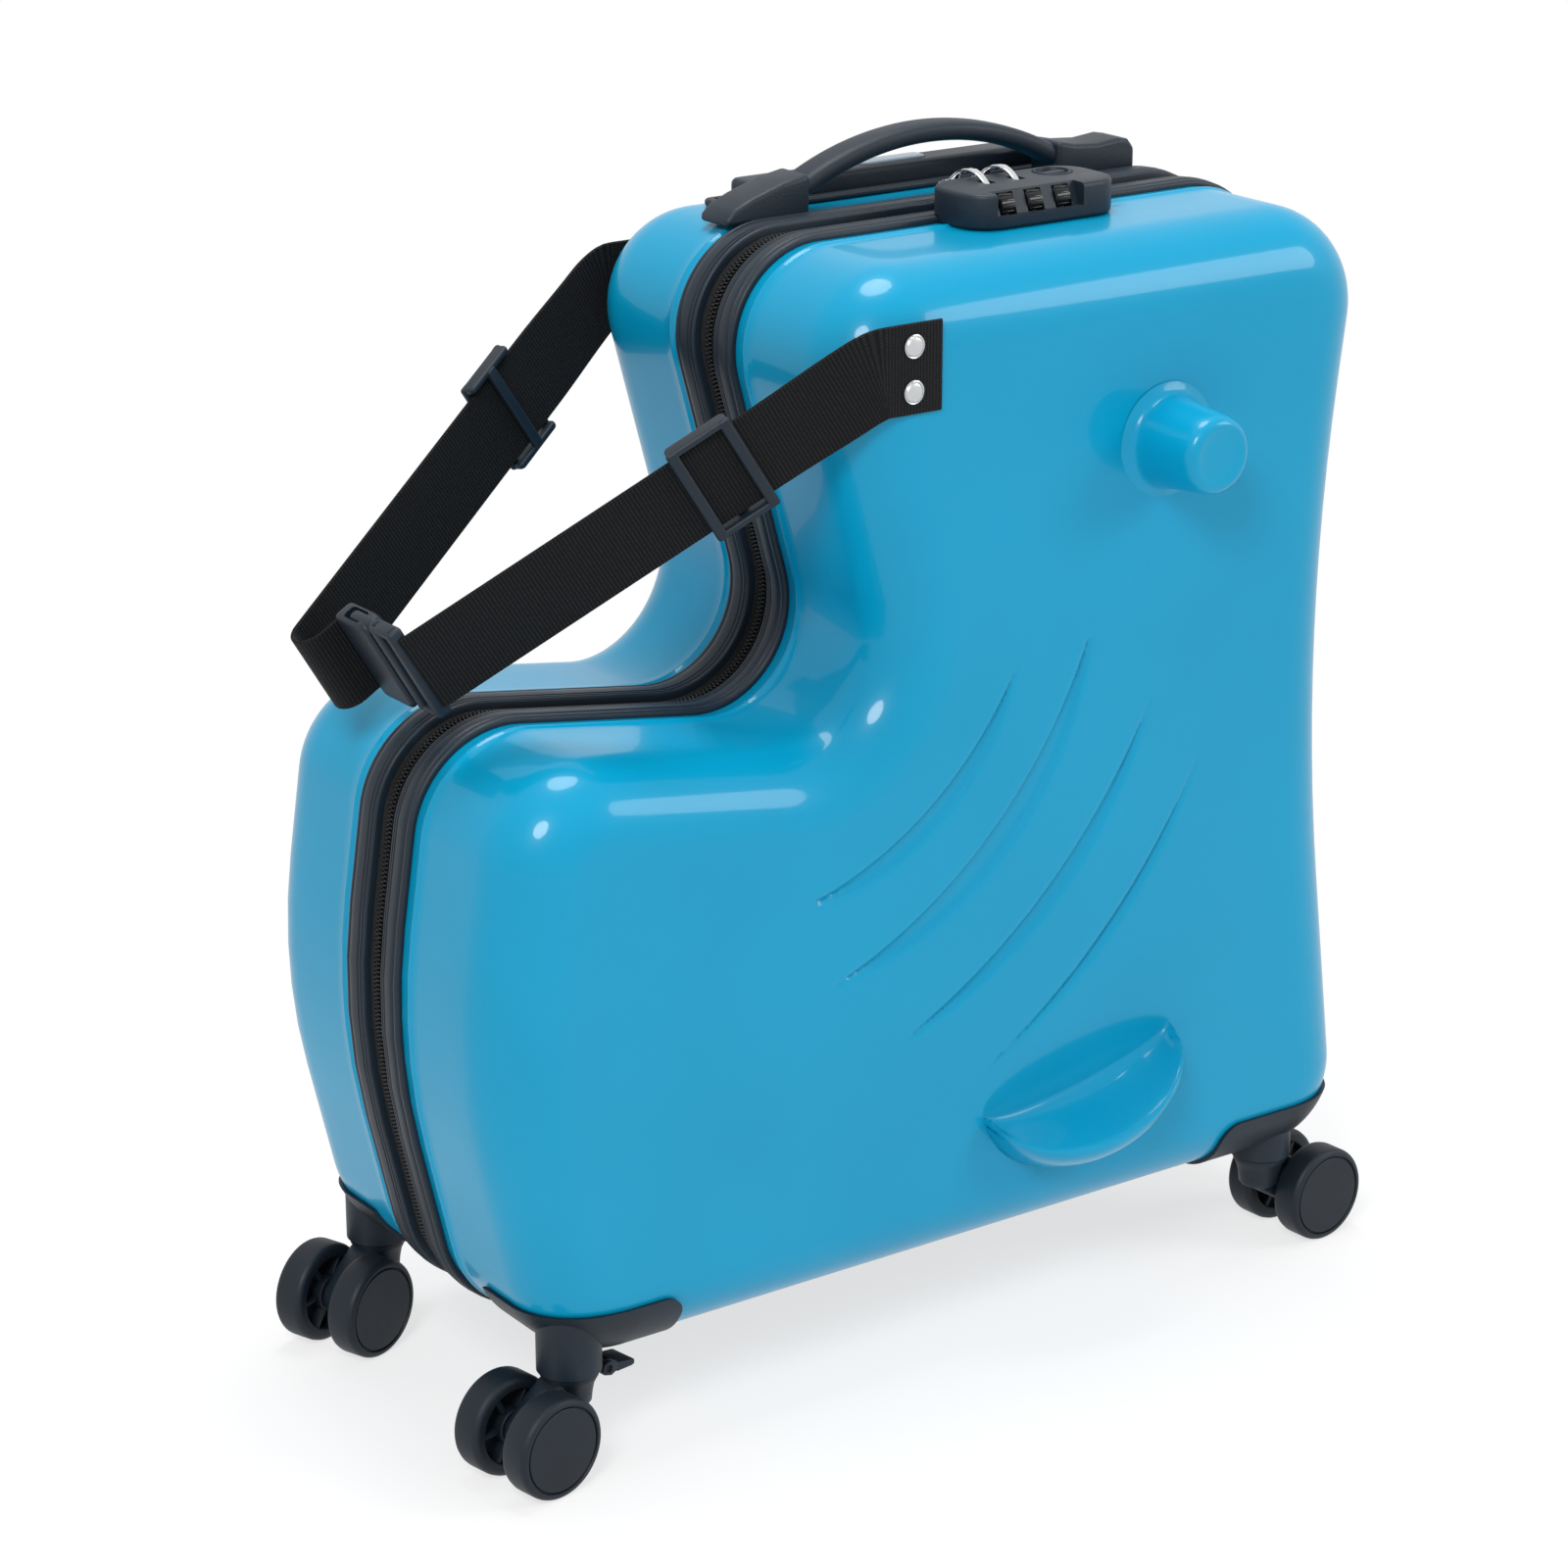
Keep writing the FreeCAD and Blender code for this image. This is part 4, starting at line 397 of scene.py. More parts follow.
def finish(look):
    """A finish by name, made when it is first asked for."""
    colours = bpy.context.scene.case_colours
    makers = {
        "shell": shell_gloss,
        # Satin blue-black that shines softly along its ridges
        "trim": lambda: grained("extruded_pvc", colours.rubber, 0.46, 0.5, 0.12),
        # Dull and even, with a broad soft highlight on the arch
        "rubber": lambda: grained("soft_touch_rubber", colours.rubber, 0.5, 0.35, 0.18),
        # Spark-eroded mould grain that breaks up the highlights
        "plastic": lambda: grained("moulded_abs", colours.plastic, 0.48, 0.6, 0.25),
        # Near black with sharp small highlights
        "gloss": lambda: grained("polished_abs", linear("#0E0F11"), 0.12, 0.8, 0.02, 0.03),
        # Pale satin button that stands out of the black grip
        "grey": lambda: grained("grey_abs", linear("#8A97A3"), 0.35, 0.6, 0.1),
        # Dull tread and disc, a little paler at the edges
        "wheel": lambda: grained("cast_polyurethane", linear("#101922"), 0.5, 0.4, 0.2),
        # Slanting twill, darker than the trim beside it, its threads with painted highlight and painted shade
        "tape": lambda: woven("zip_tape_twill", linear("#131416"), "rim", 0.9, 0.7, 0.8, 0.6),
        # A glint on each loop
        "coil": lambda: grained("nylon_coil", linear("#111214"), 0.3, 0.6, 0.05),
        # Cross ribs with a painted highlight on each and painted shade in the dark gaps between them
        "webbing": lambda: woven("ribbed_webbing", colours.webbing, "weave", 1.6, 0.9, 0.95),
        # Flat grey cloth, with faint painted highlight and painted shade on its threads
        "lining": lambda: woven("polyester_lining", colours.lining, None, 0.9, 0.9, 0.35),
        # Mirror bright
        "chrome": lambda: bright_metal("chrome_plate", linear("#D9DADC"), 0.06),
        # Soft white shine
        "steel": lambda: bright_metal("satin_steel", linear("#C9CACB"), 0.27),
        # Fine draw lines up the tubes
        "tube": lambda: bright_metal("anodised_tube", linear("#B4B8BD"), 0.3, (1.0, 1.0, 0.03), 0.06),
    }
    if look not in MATERIALS:
        MATERIALS[look] = makers[look]()
    return MATERIALS[look]


# Shapes shared by the fittings


def soften(bm, edges, offset, segments):
    """Round edges with the bevel operator."""
    bmesh.ops.bevel(
        bm, geom=edges, offset=offset, offset_type="OFFSET", segments=segments, profile=0.5,
        affect="EDGES", clamp_overlap=True, material=-1)


def soften_sharp(bm, offset):
    """Round every edge whose faces meet at more than 40 degrees."""
    sharp = math.radians(40)
    edges = [e for e in bm.edges if len(e.link_faces) == 2 and e.calc_face_angle(0.0) > sharp]
    soften(bm, edges, offset, 3)


def join(bm, part, place=Matrix()):
    """Move a loose part to its place and into a mesh."""
    bmesh.ops.transform(part, matrix=place, verts=part.verts)
    spare = bpy.data.meshes.new("part")
    part.to_mesh(spare)
    part.free()
    bm.from_mesh(spare)
    bpy.data.meshes.remove(spare)


def block(bm, low, high, corner, edge, place=Matrix(), axis=2):
    """A box with rounded corners along one axis and softened edges."""
    part = bmesh.new()
    low, high = Vector(low), Vector(high)
    stretch = Matrix.Diagonal((*(high - low), 1))
    bmesh.ops.create_cube(part, size=1.0, matrix=Matrix.Translation((low + high) / 2) @ stretch)
    if corner:
        upright = [e for e in part.edges if abs((e.verts[0].co - e.verts[1].co).normalized()[axis]) > 0.99]
        soften(part, upright, corner, 7)
    if edge:
        soften_sharp(part, edge)
    join(bm, part, place)


def spun(bm, profile, place, steps=48):
    """A turned part: a profile of (radius, height) points spun about its own upright axis."""
    part = bmesh.new()
    ring = [part.verts.new((radius, 0, height)) for radius, height in profile]
    edges = [part.edges.new(pair) for pair in zip(ring, ring[1:])]
    bmesh.ops.spin(
        part, geom=ring + edges, cent=(0, 0, 0), axis=(0, 0, 1), angle=math.tau, steps=steps, use_merge=True)
    bmesh.ops.remove_doubles(part, verts=part.verts, dist=1e-4)
    bmesh.ops.recalc_face_normals(part, faces=part.faces)
    join(bm, part, place)


def prism(bm, points, low, high, edge, place):
    """A side outline of (x, z) points carried from one y to another, its edges softened."""
    part = bmesh.new()
    ring = [part.verts.new((x, low, z)) for x, z in points]
    edges = [part.edges.new(pair) for pair in zip(ring, ring[1:] + ring[:1])]
    bmesh.ops.edgeloop_fill(part, edges=edges)
    far = bmesh.ops.extrude_face_region(part, geom=part.faces[:])["geom"]
    moved = [g for g in far if isinstance(g, bmesh.types.BMVert)]
    bmesh.ops.translate(part, vec=(0, high - low, 0), verts=moved)
    bmesh.ops.recalc_face_normals(part, faces=part.faces)
    if edge:
        soften_sharp(part, edge)
    join(bm, part, place)


def rounded_section(width, height, radius):
    """Corner-rounded rectangle about the origin, as points."""
    points = []
    for turn, (sx, sy) in enumerate(((1, 1), (-1, 1), (-1, -1), (1, -1))):
        for step in range(4):
            angle = math.radians(90 * turn + 30 * step)
            points.append((sx * (width / 2 - radius) + radius * math.cos(angle),
                           sy * (height / 2 - radius) + radius * math.sin(angle)))
    return points


def carry(bm, section, frames):
    """Carry a closed section through a row of frames, cap its ends, map it and return its length."""
    part = bmesh.new()
    along = part.verts.layers.float.new("along")
    across = part.verts.layers.float.new("across")
    ring = [part.verts.new((u, v, 0)) for u, v in section]
    for vert in ring:
        vert[across] = vert.co.x
    edges = [part.edges.new(pair) for pair in zip(ring, ring[1:] + ring[:1])]
    bmesh.ops.transform(part, matrix=frames[0], verts=ring)
    bmesh.ops.edgeloop_fill(part, edges=edges)
    travelled = 0.0
    for before, after in zip(frames, frames[1:]):
        travelled += (after.translation - before.translation).length
        fresh = bmesh.ops.extrude_edge_only(part, edges=edges)["geom"]
        ring = {g for g in fresh if isinstance(g, bmesh.types.BMVert)}
        edges = [g for g in fresh if isinstance(g, bmesh.types.BMEdge) and set(g.verts) <= ring]
        bmesh.ops.transform(part, matrix=after @ before.inverted(), verts=list(ring))
        for vert in ring:
            vert[along] = travelled
    bmesh.ops.edgeloop_fill(part, edges=edges)
    layer = part.loops.layers.uv.new("weave")
    for face in part.faces:
        for loop in face.loops:
            loop[layer].uv = (loop.vert[along] * MM, loop.vert[across] * MM)
    bmesh.ops.recalc_face_normals(part, faces=part.faces)
    join(bm, part)
    return travelled


def carve(bm, cutter):
    """Cut the closed shapes of one mesh out of another and return what is left."""
    pieces = []
    for source in (bm, cutter):
        bmesh.ops.recalc_face_normals(source, faces=source.faces)
        mesh = bpy.data.meshes.new("carving")
        source.to_mesh(mesh)
        source.free()
        pieces.append(bpy.data.objects.new("carving", mesh))
        bpy.context.scene.collection.objects.link(pieces[-1])
    cut = pieces[0].modifiers.new("cut", "BOOLEAN")
    cut.solver = "EXACT"
    cut.use_self = True
    cut.object = pieces[1]
    made = bpy.data.meshes.new_from_object(pieces[0].evaluated_get(bpy.context.evaluated_depsgraph_get()))
    left = bmesh.new()
    left.from_mesh(made)
    bpy.data.meshes.remove(made)
    for piece in pieces:
        mesh = piece.data
        bpy.data.objects.remove(piece)
        bpy.data.meshes.remove(mesh)
    return left


def curve(start, bend, end, t):
    """Point at a share t of a curve that leaves its start towards a bend and comes from there to its end."""
    return (1 - t) ** 2 * start + 2 * t * (1 - t) * bend + t * t * end


def axes_frame(x, y, z, point):
    """Frame at a point with three given axes."""
    matrix = Matrix((x, y, z)).transposed().to_4x4()
    matrix.translation = point
    return matrix


def frame_at(point, ahead, width):
    """Frame whose x lies across a band, y through it and z along it."""
    ahead = Vector(ahead).normalized()
    across = (Vector(width) - ahead * Vector(width).dot(ahead)).normalized()
    return axes_frame(across, ahead.cross(across), ahead, point)


def turned_to(axis, point):
    """Frame at a point whose z points along an axis."""
    return Matrix.Translation(point) @ Vector(axis).to_track_quat("Z", "Y").to_matrix().to_4x4()


# Shells

KNOB = Vector((110.0, TOP - 87.5))
# Radius and height of the hand knob: a small concave foot, a slow taper and a rounded, shallow-dished tip
KNOB_PROFILE = [
    (25.5, -0.4), (22.6, 0.5), (20.9, 1.7), (20.0, 3.6), (19.5, 7.0), (18.9, 13.0), (18.3, 19.0),
    (17.7, 25.0), (17.2, 29.4), (16.7, 31.6), (15.8, 33.3), (14.4, 34.4), (13.0, 34.8), (11.8, 34.6),
    (10.4, 34.1), (7.0, 33.9), (0.0, 33.8),
]
FOOT = Vector((69.0, BOTTOM + 78.0))
FOOT_TILT = math.radians(11.0)
# Half chord of the footrest; heights about it of pocket, fold, lip and underside; reach of the lip
FOOT_HALF = 53.0
FOOT_POCKET = 20.0
FOOT_FOLD = -10.0
FOOT_LIP = -25.0
FOOT_UNDER = -45.0
FOOT_REACH = 29.0
POCKET_DEEP = 3.0
RIPPLE_CENTRE = Vector((-78.0, BOTTOM + 297.0))
# Radius, first and last angle of each crescent, and how much flatter its other edge is
RIPPLES = [(112.0, -14.0, -92.0), (150.0, -6.0, -84.0), (190.0, -18.0, -74.0), (228.0, -24.0, -62.0)]
RIPPLE_FLAT = 1.45
# Distance inside its edge at which a groove starts to fall, and at which it reaches its floor
GROOVE_FALL = (-1.2, 2.2)
# Distance inside the outline at which the crown starts to rise, and at which it is full
CROWN_RISE = (30.0, 130.0)
# How far round a groove and round the footrest the panel's squares are cut up
RIPPLE_MARGIN = 3
FOOT_MARGIN = 4
# Rim wall of a shell with the bead beside the trim: out and depth
RIM_WALL = [
    (0.0, 9.0), (0.0, 25.4), (0.25, 26.0), (0.8, 26.6), (0.95, 27.4), (0.8, 28.2), (0.25, 28.9), (0.0, 29.6),
    (0.0, 34.0), (0.0, 44.0), (0.0, 56.0),
]
# Half sizes and middle height of the lattice that the panel is cut from, its squares 4 mm wide, and the
# strip between it and the rounded edge
LATTICE = (244, 1, 224, 1)
LATTICE_Z = 272
LATTICE_STRIP = 3.0
# Corners (x, y) of the trolley's opening in the left shell
OPENING = ((-12.2, 45.8), (168.2, 66.2))


def smooth_step(low, high, x):
    """Smooth rise from 0 at one value to 1 at another."""
    t = min(1.0, max(0.0, (x - low) / (high - low)))
    return t * t * (3 - 2 * t)


def ripple_depth(x, z):
    """How far inside a crescent groove a point lies, from 0 outside to 1 on its floor."""
    point = Vector((x, z))
    deepest = 0.0
    for radius, *angles in RIPPLES:
        turns = [math.radians(angle) for angle in angles]
        first, last = [RIPPLE_CENTRE + radius * Vector((math.cos(a), math.sin(a))) for a in turns]
        middle = (first + last) / 2
        away = (middle - RIPPLE_CENTRE).normalized()
        flat = radius * RIPPLE_FLAT
        other = middle - away * math.sqrt(flat ** 2 - ((first - last).length / 2) ** 2)
        inside = min(radius - (point - RIPPLE_CENTRE).length, (point - other).length - flat)
        deepest = max(deepest, smooth_step(*GROOVE_FALL, inside))
    return deepest


def near_ripple(x, z):
    """Whether a groove comes near a point."""
    around = (-RIPPLE_MARGIN, RIPPLE_MARGIN)
    return any(ripple_depth(x + a, z + b) > 0 for a in around for b in around)


def foot_frame(x, z):
    """A point of the panel in the footrest's sloping frame: along the tread and above it."""
    along = Vector((math.cos(FOOT_TILT), math.sin(FOOT_TILT)))
    above = Vector((-along.y, along.x))
    spot = Vector((x, z)) - FOOT
    return spot.dot(along), spot.dot(above)


def near_foot(x, z):
    """Whether a point lies on the footrest or next to it."""
    u, v = foot_frame(x, z)
    return abs(u) < FOOT_HALF + FOOT_MARGIN and FOOT_UNDER - FOOT_MARGIN < v < FOOT_POCKET + FOOT_MARGIN


def foot_shift(u, v):
    """How far the footrest stands out: a shallow pocket, a tread that falls to a round lip, a skirt."""
    if abs(u) >= FOOT_HALF:
        return 0.0
    size = math.sqrt(1 - (u / FOOT_HALF) ** 2)
    if not FOOT_UNDER * size < v < FOOT_POCKET * size:
        return 0.0
    pocket = -POCKET_DEEP * size
    lip = FOOT_REACH * size ** 0.8
    if v > FOOT_FOLD * size:
        return pocket * smooth_step(FOOT_POCKET * size, FOOT_FOLD * size * 0.4, v)
    if v > FOOT_LIP * size:
        fall = (FOOT_FOLD * size - v) / ((FOOT_FOLD - FOOT_LIP) * size)
        return pocket + (lip - pocket) * (1 - (1 - fall ** 2) ** 1.5)
    back = (FOOT_LIP * size - v) / ((FOOT_LIP - FOOT_UNDER) * size)
    return lip * (1 - back ** 2) ** 0.9


def panel_shift(x, z):
    """How far the panel stands out of its plane: crown, ripples and footrest."""
    _, out = locate(x, z)
    shift = millimetres("crown") * smooth_step(*CROWN_RISE, -out)
    shift -= millimetres("groove") * ripple_depth(x, z)
    return shift + foot_shift(*foot_frame(x, z))


def refine(bm, depth, wanted, cuts):
    """Cut up the panel's squares whose middle is wanted."""
    busy = []
    for face in bm.faces:
        c = face.calc_center_median()
        if abs(abs(c.y) - depth) < NEAR and len(face.verts) == 4 and wanted(c.x, c.z):
            busy.append(face)
    edges = list({e for f in busy for e in f.edges})
    bmesh.ops.subdivide_edges(bm, edges=edges, cuts=cuts, use_grid_fill=True)


def round_edge(edge, depth, steps):
    """Profile of the round between the rim wall and a panel: out and depth."""
    turn = [math.pi / 2 * i / steps for i in range(steps + 1)]
    return [(edge * (math.cos(a) - 1), depth - edge + edge * math.sin(a)) for a in turn]


def shell_skin(bm, side):
    """Rim wall, bead, rounded edge and panel of one shell, as one open skin."""
    depth = millimetres("half_depth")
    edge = millimetres("edge_round")
    sweep(bm, RIM_WALL + round_edge(edge, depth, 14), side, closed=False, pitch=10.0, bend=4.0)
    upright = Matrix.Rotation(math.radians(90), 4, "X")
    place = Matrix.Translation((0, side * depth, LATTICE_Z)) @ Matrix.Diagonal(LATTICE) @ upright
    lattice = bmesh.ops.create_grid(
        bm, x_segments=LATTICE[0] // 2, y_segments=LATTICE[2] // 2, size=1.0, matrix=place)["verts"]
    outside = [v for v in lattice if locate(v.co.x, v.co.z)[1] > -edge - LATTICE_STRIP]
    bmesh.ops.delete(bm, geom=outside, context="VERTS")
    bmesh.ops.triangle_fill(bm, edges=open_edges(bm, depth), use_beauty=True, use_dissolve=False)
    refine(bm, depth, near_ripple, cuts=2)
    refine(bm, depth, near_foot, cuts=5)
    for vert in bm.verts:
        if abs(abs(vert.co.y) - depth) < NEAR:
            vert.co.y += side * panel_shift(vert.co.x, vert.co.z)


def top_opening(bm, low, high):
    """Cut a rectangular opening between two corners into the flat top of a shell skin."""
    for axis in (0, 1):
        for limit in (low[axis], high[axis]):
            faces = [f for f in bm.faces if f.calc_center_median().z > TOP - 0.1]
            rims = list({g for f in faces for g in (*f.edges, *f.verts)})
            normal = Vector((1 - axis, axis, 0))
            bmesh.ops.bisect_plane(bm, geom=faces + rims, plane_co=normal * limit, plane_no=normal, dist=1e-4)
    gone = []
    for face in bm.faces:
        c = face.calc_center_median()
        if c.z > TOP - 0.1 and low[0] < c.x < high[0] and low[1] < c.y < high[1]:
            gone.append(face)
    bmesh.ops.delete(bm, geom=gone, context="FACES")


class CASE_OT_shells(bpy.types.Operator):
    """Mould the two glossy shells with their knobs, footrests and ripples"""

    bl_idname = "ride_case.shells"
    bl_label = "Shells"

    def execute(self, context):
        face = millimetres("half_depth") + millimetres("crown")
        for name, side in SIDES.items():
            bm = bmesh.new()
            shell_skin(bm, side)
            if side > 0:
                top_opening(bm, *OPENING)
            thicken(bm, side, millimetres("wall"))
            spun(bm, KNOB_PROFILE, turned_to((0, side, 0), lifted(KNOB, side * face)), 64)
            settle(bm, f"shell_{name}", f"{name}_half", "shell", f"{name}_shell", 42.0)
        return {"FINISHED"}


# Rim trim and zip

# Out and depth of the ridged trim, and of the zip tape beside it
TRIM_PROFILE = [
    (-2.4, 7.0), (1.5, 7.0), (2.2, 7.25), (2.55, 7.8), (2.55, 8.4), (1.95, 8.8), (1.95, 9.2), (2.75, 9.6),
    (2.75, 10.3), (2.1, 10.7), (2.1, 11.1), (2.95, 11.6), (3.15, 13.4), (3.2, 15.4), (3.05, 17.4),
    (2.5, 17.8), (2.5, 18.15), (2.95, 18.6), (2.85, 19.8), (2.3, 20.7), (1.3, 21.0), (0.2, 21.0),
    (0.2, 9.2), (0.2, 8.8), (-6.6, 8.8), (-6.6, 7.0),
]
TAPE_PROFILE = [(-2.4, 0.3), (-1.2, 0.3), (-1.2, 2.6), (-1.05, 4.5), (-1.2, 6.8), (-2.4, 6.8)]
# Least x of the front end, and the heights between which the hinge runs
FRONT_X = 200
HINGE_Z = (150, 420)
HINGE_STEP = 6
HINGE_OUT = 1.1
HINGE_DEPTH = 3.55
# Width, thickness and round of the hinge tape
HINGE_SECTION = (6.4, 1.3, 0.5)
# Loop of the zip coil: along the seam, across it and out of it
LOOP = (0.8, 2.9, 1.3)
LOOP_ROUND = 0.26
COIL_OUT = -0.55
COIL_DEPTH = 1.15


class CASE_OT_rim(bpy.types.Operator):
    """Run the ridged trim, the zip tape and the zip coil round the seam"""

    bl_idname = "ride_case.rim"
    bl_label = "Rim and zip"

    def execute(self, context):
        for name, side in SIDES.items():
            body = f"{name}_half"
            bm = bmesh.new()
            sweep(bm, TRIM_PROFILE, side)
            settle(bm, f"trim_{name}", body, "trim", f"{name}_trim", 50.0)
            bm = bmesh.new()
            sweep(bm, TAPE_PROFILE, side)
            run_uv(bm)
            settle(bm, f"zip_tape_{name}", body, "tape", f"{name}_zip_tape", 50.0)
            self.coil(name, side, body)
            self.hinge(name, side, body)
        return {"FINISHED"}

    def hinge(self, name, side, body):
        """One leaf of the tape hinge, laid over the zip along the front end."""
        frames = []
        for distance in range(0, round(AROUND), HINGE_STEP):
            rim, heading, outward = place_at(distance)
            if rim.x > FRONT_X and HINGE_Z[0] <= rim.y <= HINGE_Z[1]:
                spot = lifted(rim + outward * HINGE_OUT, side * HINGE_DEPTH)
                frames.append(frame_at(spot, lifted(heading), (0, 1, 0)))
        bm = bmesh.new()
        length = carry(bm, rounded_section(*HINGE_SECTION), frames)
        piece = settle(bm, f"hinge_tape_{name}", body, "webbing", f"{name}_hinge_tape", 50.0)

    def coil(self, name, side, body):
        """Loops of the zip coil, one half pitch apart on the two sides."""
        bm = bmesh.new()
        count = round(AROUND / millimetres("tooth_pitch"))
        for index in range(count):
            rim, heading, outward = place_at((index + 0.5 + side / 4) * AROUND / count)
            spot = lifted(rim + outward * COIL_OUT, side * COIL_DEPTH)
            place = axes_frame(lifted(heading), (0, 1, 0), lifted(outward), spot)
            bmesh.ops.create_cube(bm, size=1.0, matrix=place @ Matrix.Diagonal((*LOOP, 1)))
        soften(bm, bm.edges[:], LOOP_ROUND, 1)
        settle(bm, f"zip_coil_{name}", body, "coil", smooth=80.0)


# Lining

LINING_GAP = 5.9
LINING_SHEET = 1.0
LINING_EDGE = 9.2
TUNNEL_X = (-17.0, 173.0)
TUNNEL_Y = 43.2
STRAP_LEAN = math.radians(32.0)
STRAP_MIDDLE = Vector((78.0, 41.4, BOTTOM + 162.0))
STRAP_LONG = 260
STRAP_WIDE = 25.0
STRAP_STEP = 20
# How much higher than the first strap the second one lies
STRAP_OVER = 1.4


class CASE_OT_lining(bpy.types.Operator):
    """Line both halves with fabric and lay the packing straps over the trolley tunnel"""

    bl_idname = "ride_case.lining"
    bl_label = "Lining"

    def execute(self, context):
        for name, side in SIDES.items():
            bm = self.tray(side)
            if side > 0:
                self.tunnel(bm)
            thicken(bm, side, LINING_SHEET)
            settle(bm, f"lining_{name}", f"{name}_half", "lining", f"{name}_lining", 40.0)
        for layer, lean in enumerate((STRAP_LEAN, -STRAP_LEAN)):
            self.strap(layer, lean)
        return {"FINISHED"}

    def tray(self, side):
        """Skin of the lining: wall, rounded edge and flat back."""
        bm = bmesh.new()
        edge = millimetres("edge_round") - LINING_GAP
        back = millimetres("half_depth") - LINING_GAP
        profile = [(0.0, LINING_EDGE)] + round_edge(edge, back, 6)
        sweep(bm, [(out - LINING_GAP, depth) for out, depth in profile], side, closed=False)
        bmesh.ops.edgeloop_fill(bm, edges=open_edges(bm, back))
        return bm

    def tunnel(self, bm):
        """Step the left lining forward round the trolley tubes."""
        left, right = TUNNEL_X
        planes = [((left, 0, 0), (1, 0, 0)), ((right, 0, 0), (1, 0, 0)), ((0, TUNNEL_Y, 0), (0, 1, 0))]
        for spot, normal in planes:
            everything = bm.verts[:] + bm.edges[:] + bm.faces[:]
            bmesh.ops.bisect_plane(bm, geom=everything, plane_co=spot, plane_no=normal, dist=1e-4)
        middles = {face: face.calc_center_median() for face in bm.faces}
        gone = [face for face, c in middles.items() if left < c.x < right and c.y > TUNNEL_Y]
        bmesh.ops.delete(bm, geom=gone, context="FACES")
        posts = []
        for x in TUNNEL_X:
            ends = [v for v in bm.verts if abs(v.co.x - x) < 1e-3 and abs(v.co.y - TUNNEL_Y) < 1e-3]
            ends.sort(key=lambda v: v.co.z)
            posts.append(bm.edges.new((ends[0], ends[-1])))
        rims = [(e, [v.co for v in e.verts]) for e in bm.edges if e.is_boundary]
        for x, post in zip(TUNNEL_X, posts):
            cheek = [e for e, ends in rims
                     if all(abs(p.x - x) < 1e-3 and p.y > TUNNEL_Y - 1e-3 for p in ends)]
            bmesh.ops.edgeloop_fill(bm, edges=cheek + [post])
        front = [e for e, ends in rims
                 if all(abs(p.y - TUNNEL_Y) < 1e-3 and left - NEAR < p.x < right + NEAR for p in ends)]
        bmesh.ops.edgeloop_fill(bm, edges=front + posts)

    def strap(self, layer, lean):
        """One of the two crossing straps, the second laid over the first."""
        bm = bmesh.new()
        ahead = Vector((math.sin(lean), 0, math.cos(lean)))
        width = (math.cos(lean), 0, -math.sin(lean))
        middle = STRAP_MIDDLE - Vector((0, STRAP_OVER * layer, 0))
        frames = [frame_at(middle + ahead * (d - STRAP_LONG / 2), ahead, width)
                  for d in range(0, STRAP_LONG + 1, STRAP_STEP)]
        length = carry(bm, rounded_section(STRAP_WIDE, 1.2, 0.5), frames)
        node = None if layer else "packing_straps"
        piece = settle(bm, f"packing_strap_{layer + 1}", "left_half", "webbing", node)


# Lock, zip sliders and pulls

LOCK_X = (46.0, 126.0)
LOCK_Y = (-49.5, -9.0)
LOCK_Z = (TOP + 0.2, TOP + 15.7)
# Step under the lock that clears the trim: y and z
LOCK_STEP = (-21.5, TOP + 3.5)
# What is cut off above the dials, to leave a sloping ledge: its span in x, its outline in y and height
LEDGE_X = (57, 103)
LEDGE = [(-54, 6.4), (-46.2, 6.0), (-41.6, 15.9), (-41.6, 21.7), (-54, 21.7)]
DIALS = (65.0, 80.0, 95.0)
DIAL_AT = Vector((0.0, -41.5, TOP + 9.5))
DIAL_RADIUS = 5.0
DIAL_RIDGES = 10
KEY = (108.0, -21.0, TOP)
# Radius and height of the key's bore and of the key cylinder
KEY_BORE = [(0, 6.5), (8.6, 6.5), (8.6, 14.9), (9.6, 15.9), (9.6, 20), (0, 20)]
KEY_PROFILE = [
    (0, 6.7), (8.5, 6.7), (8.5, 15.6), (8.0, 16.2), (7.5, 16.2), (7.1, 15.6), (6.9, 13.4), (0, 13.2)]
SLIDERS = (70.0, 86.0)
PIN = Vector((0.0, 2.6, TOP + 9.5))
PULL_TIP = Vector((0.0, -25.4, TOP + 13.5))
PULL_ARCH = 7.5
PULL_STEPS = 18


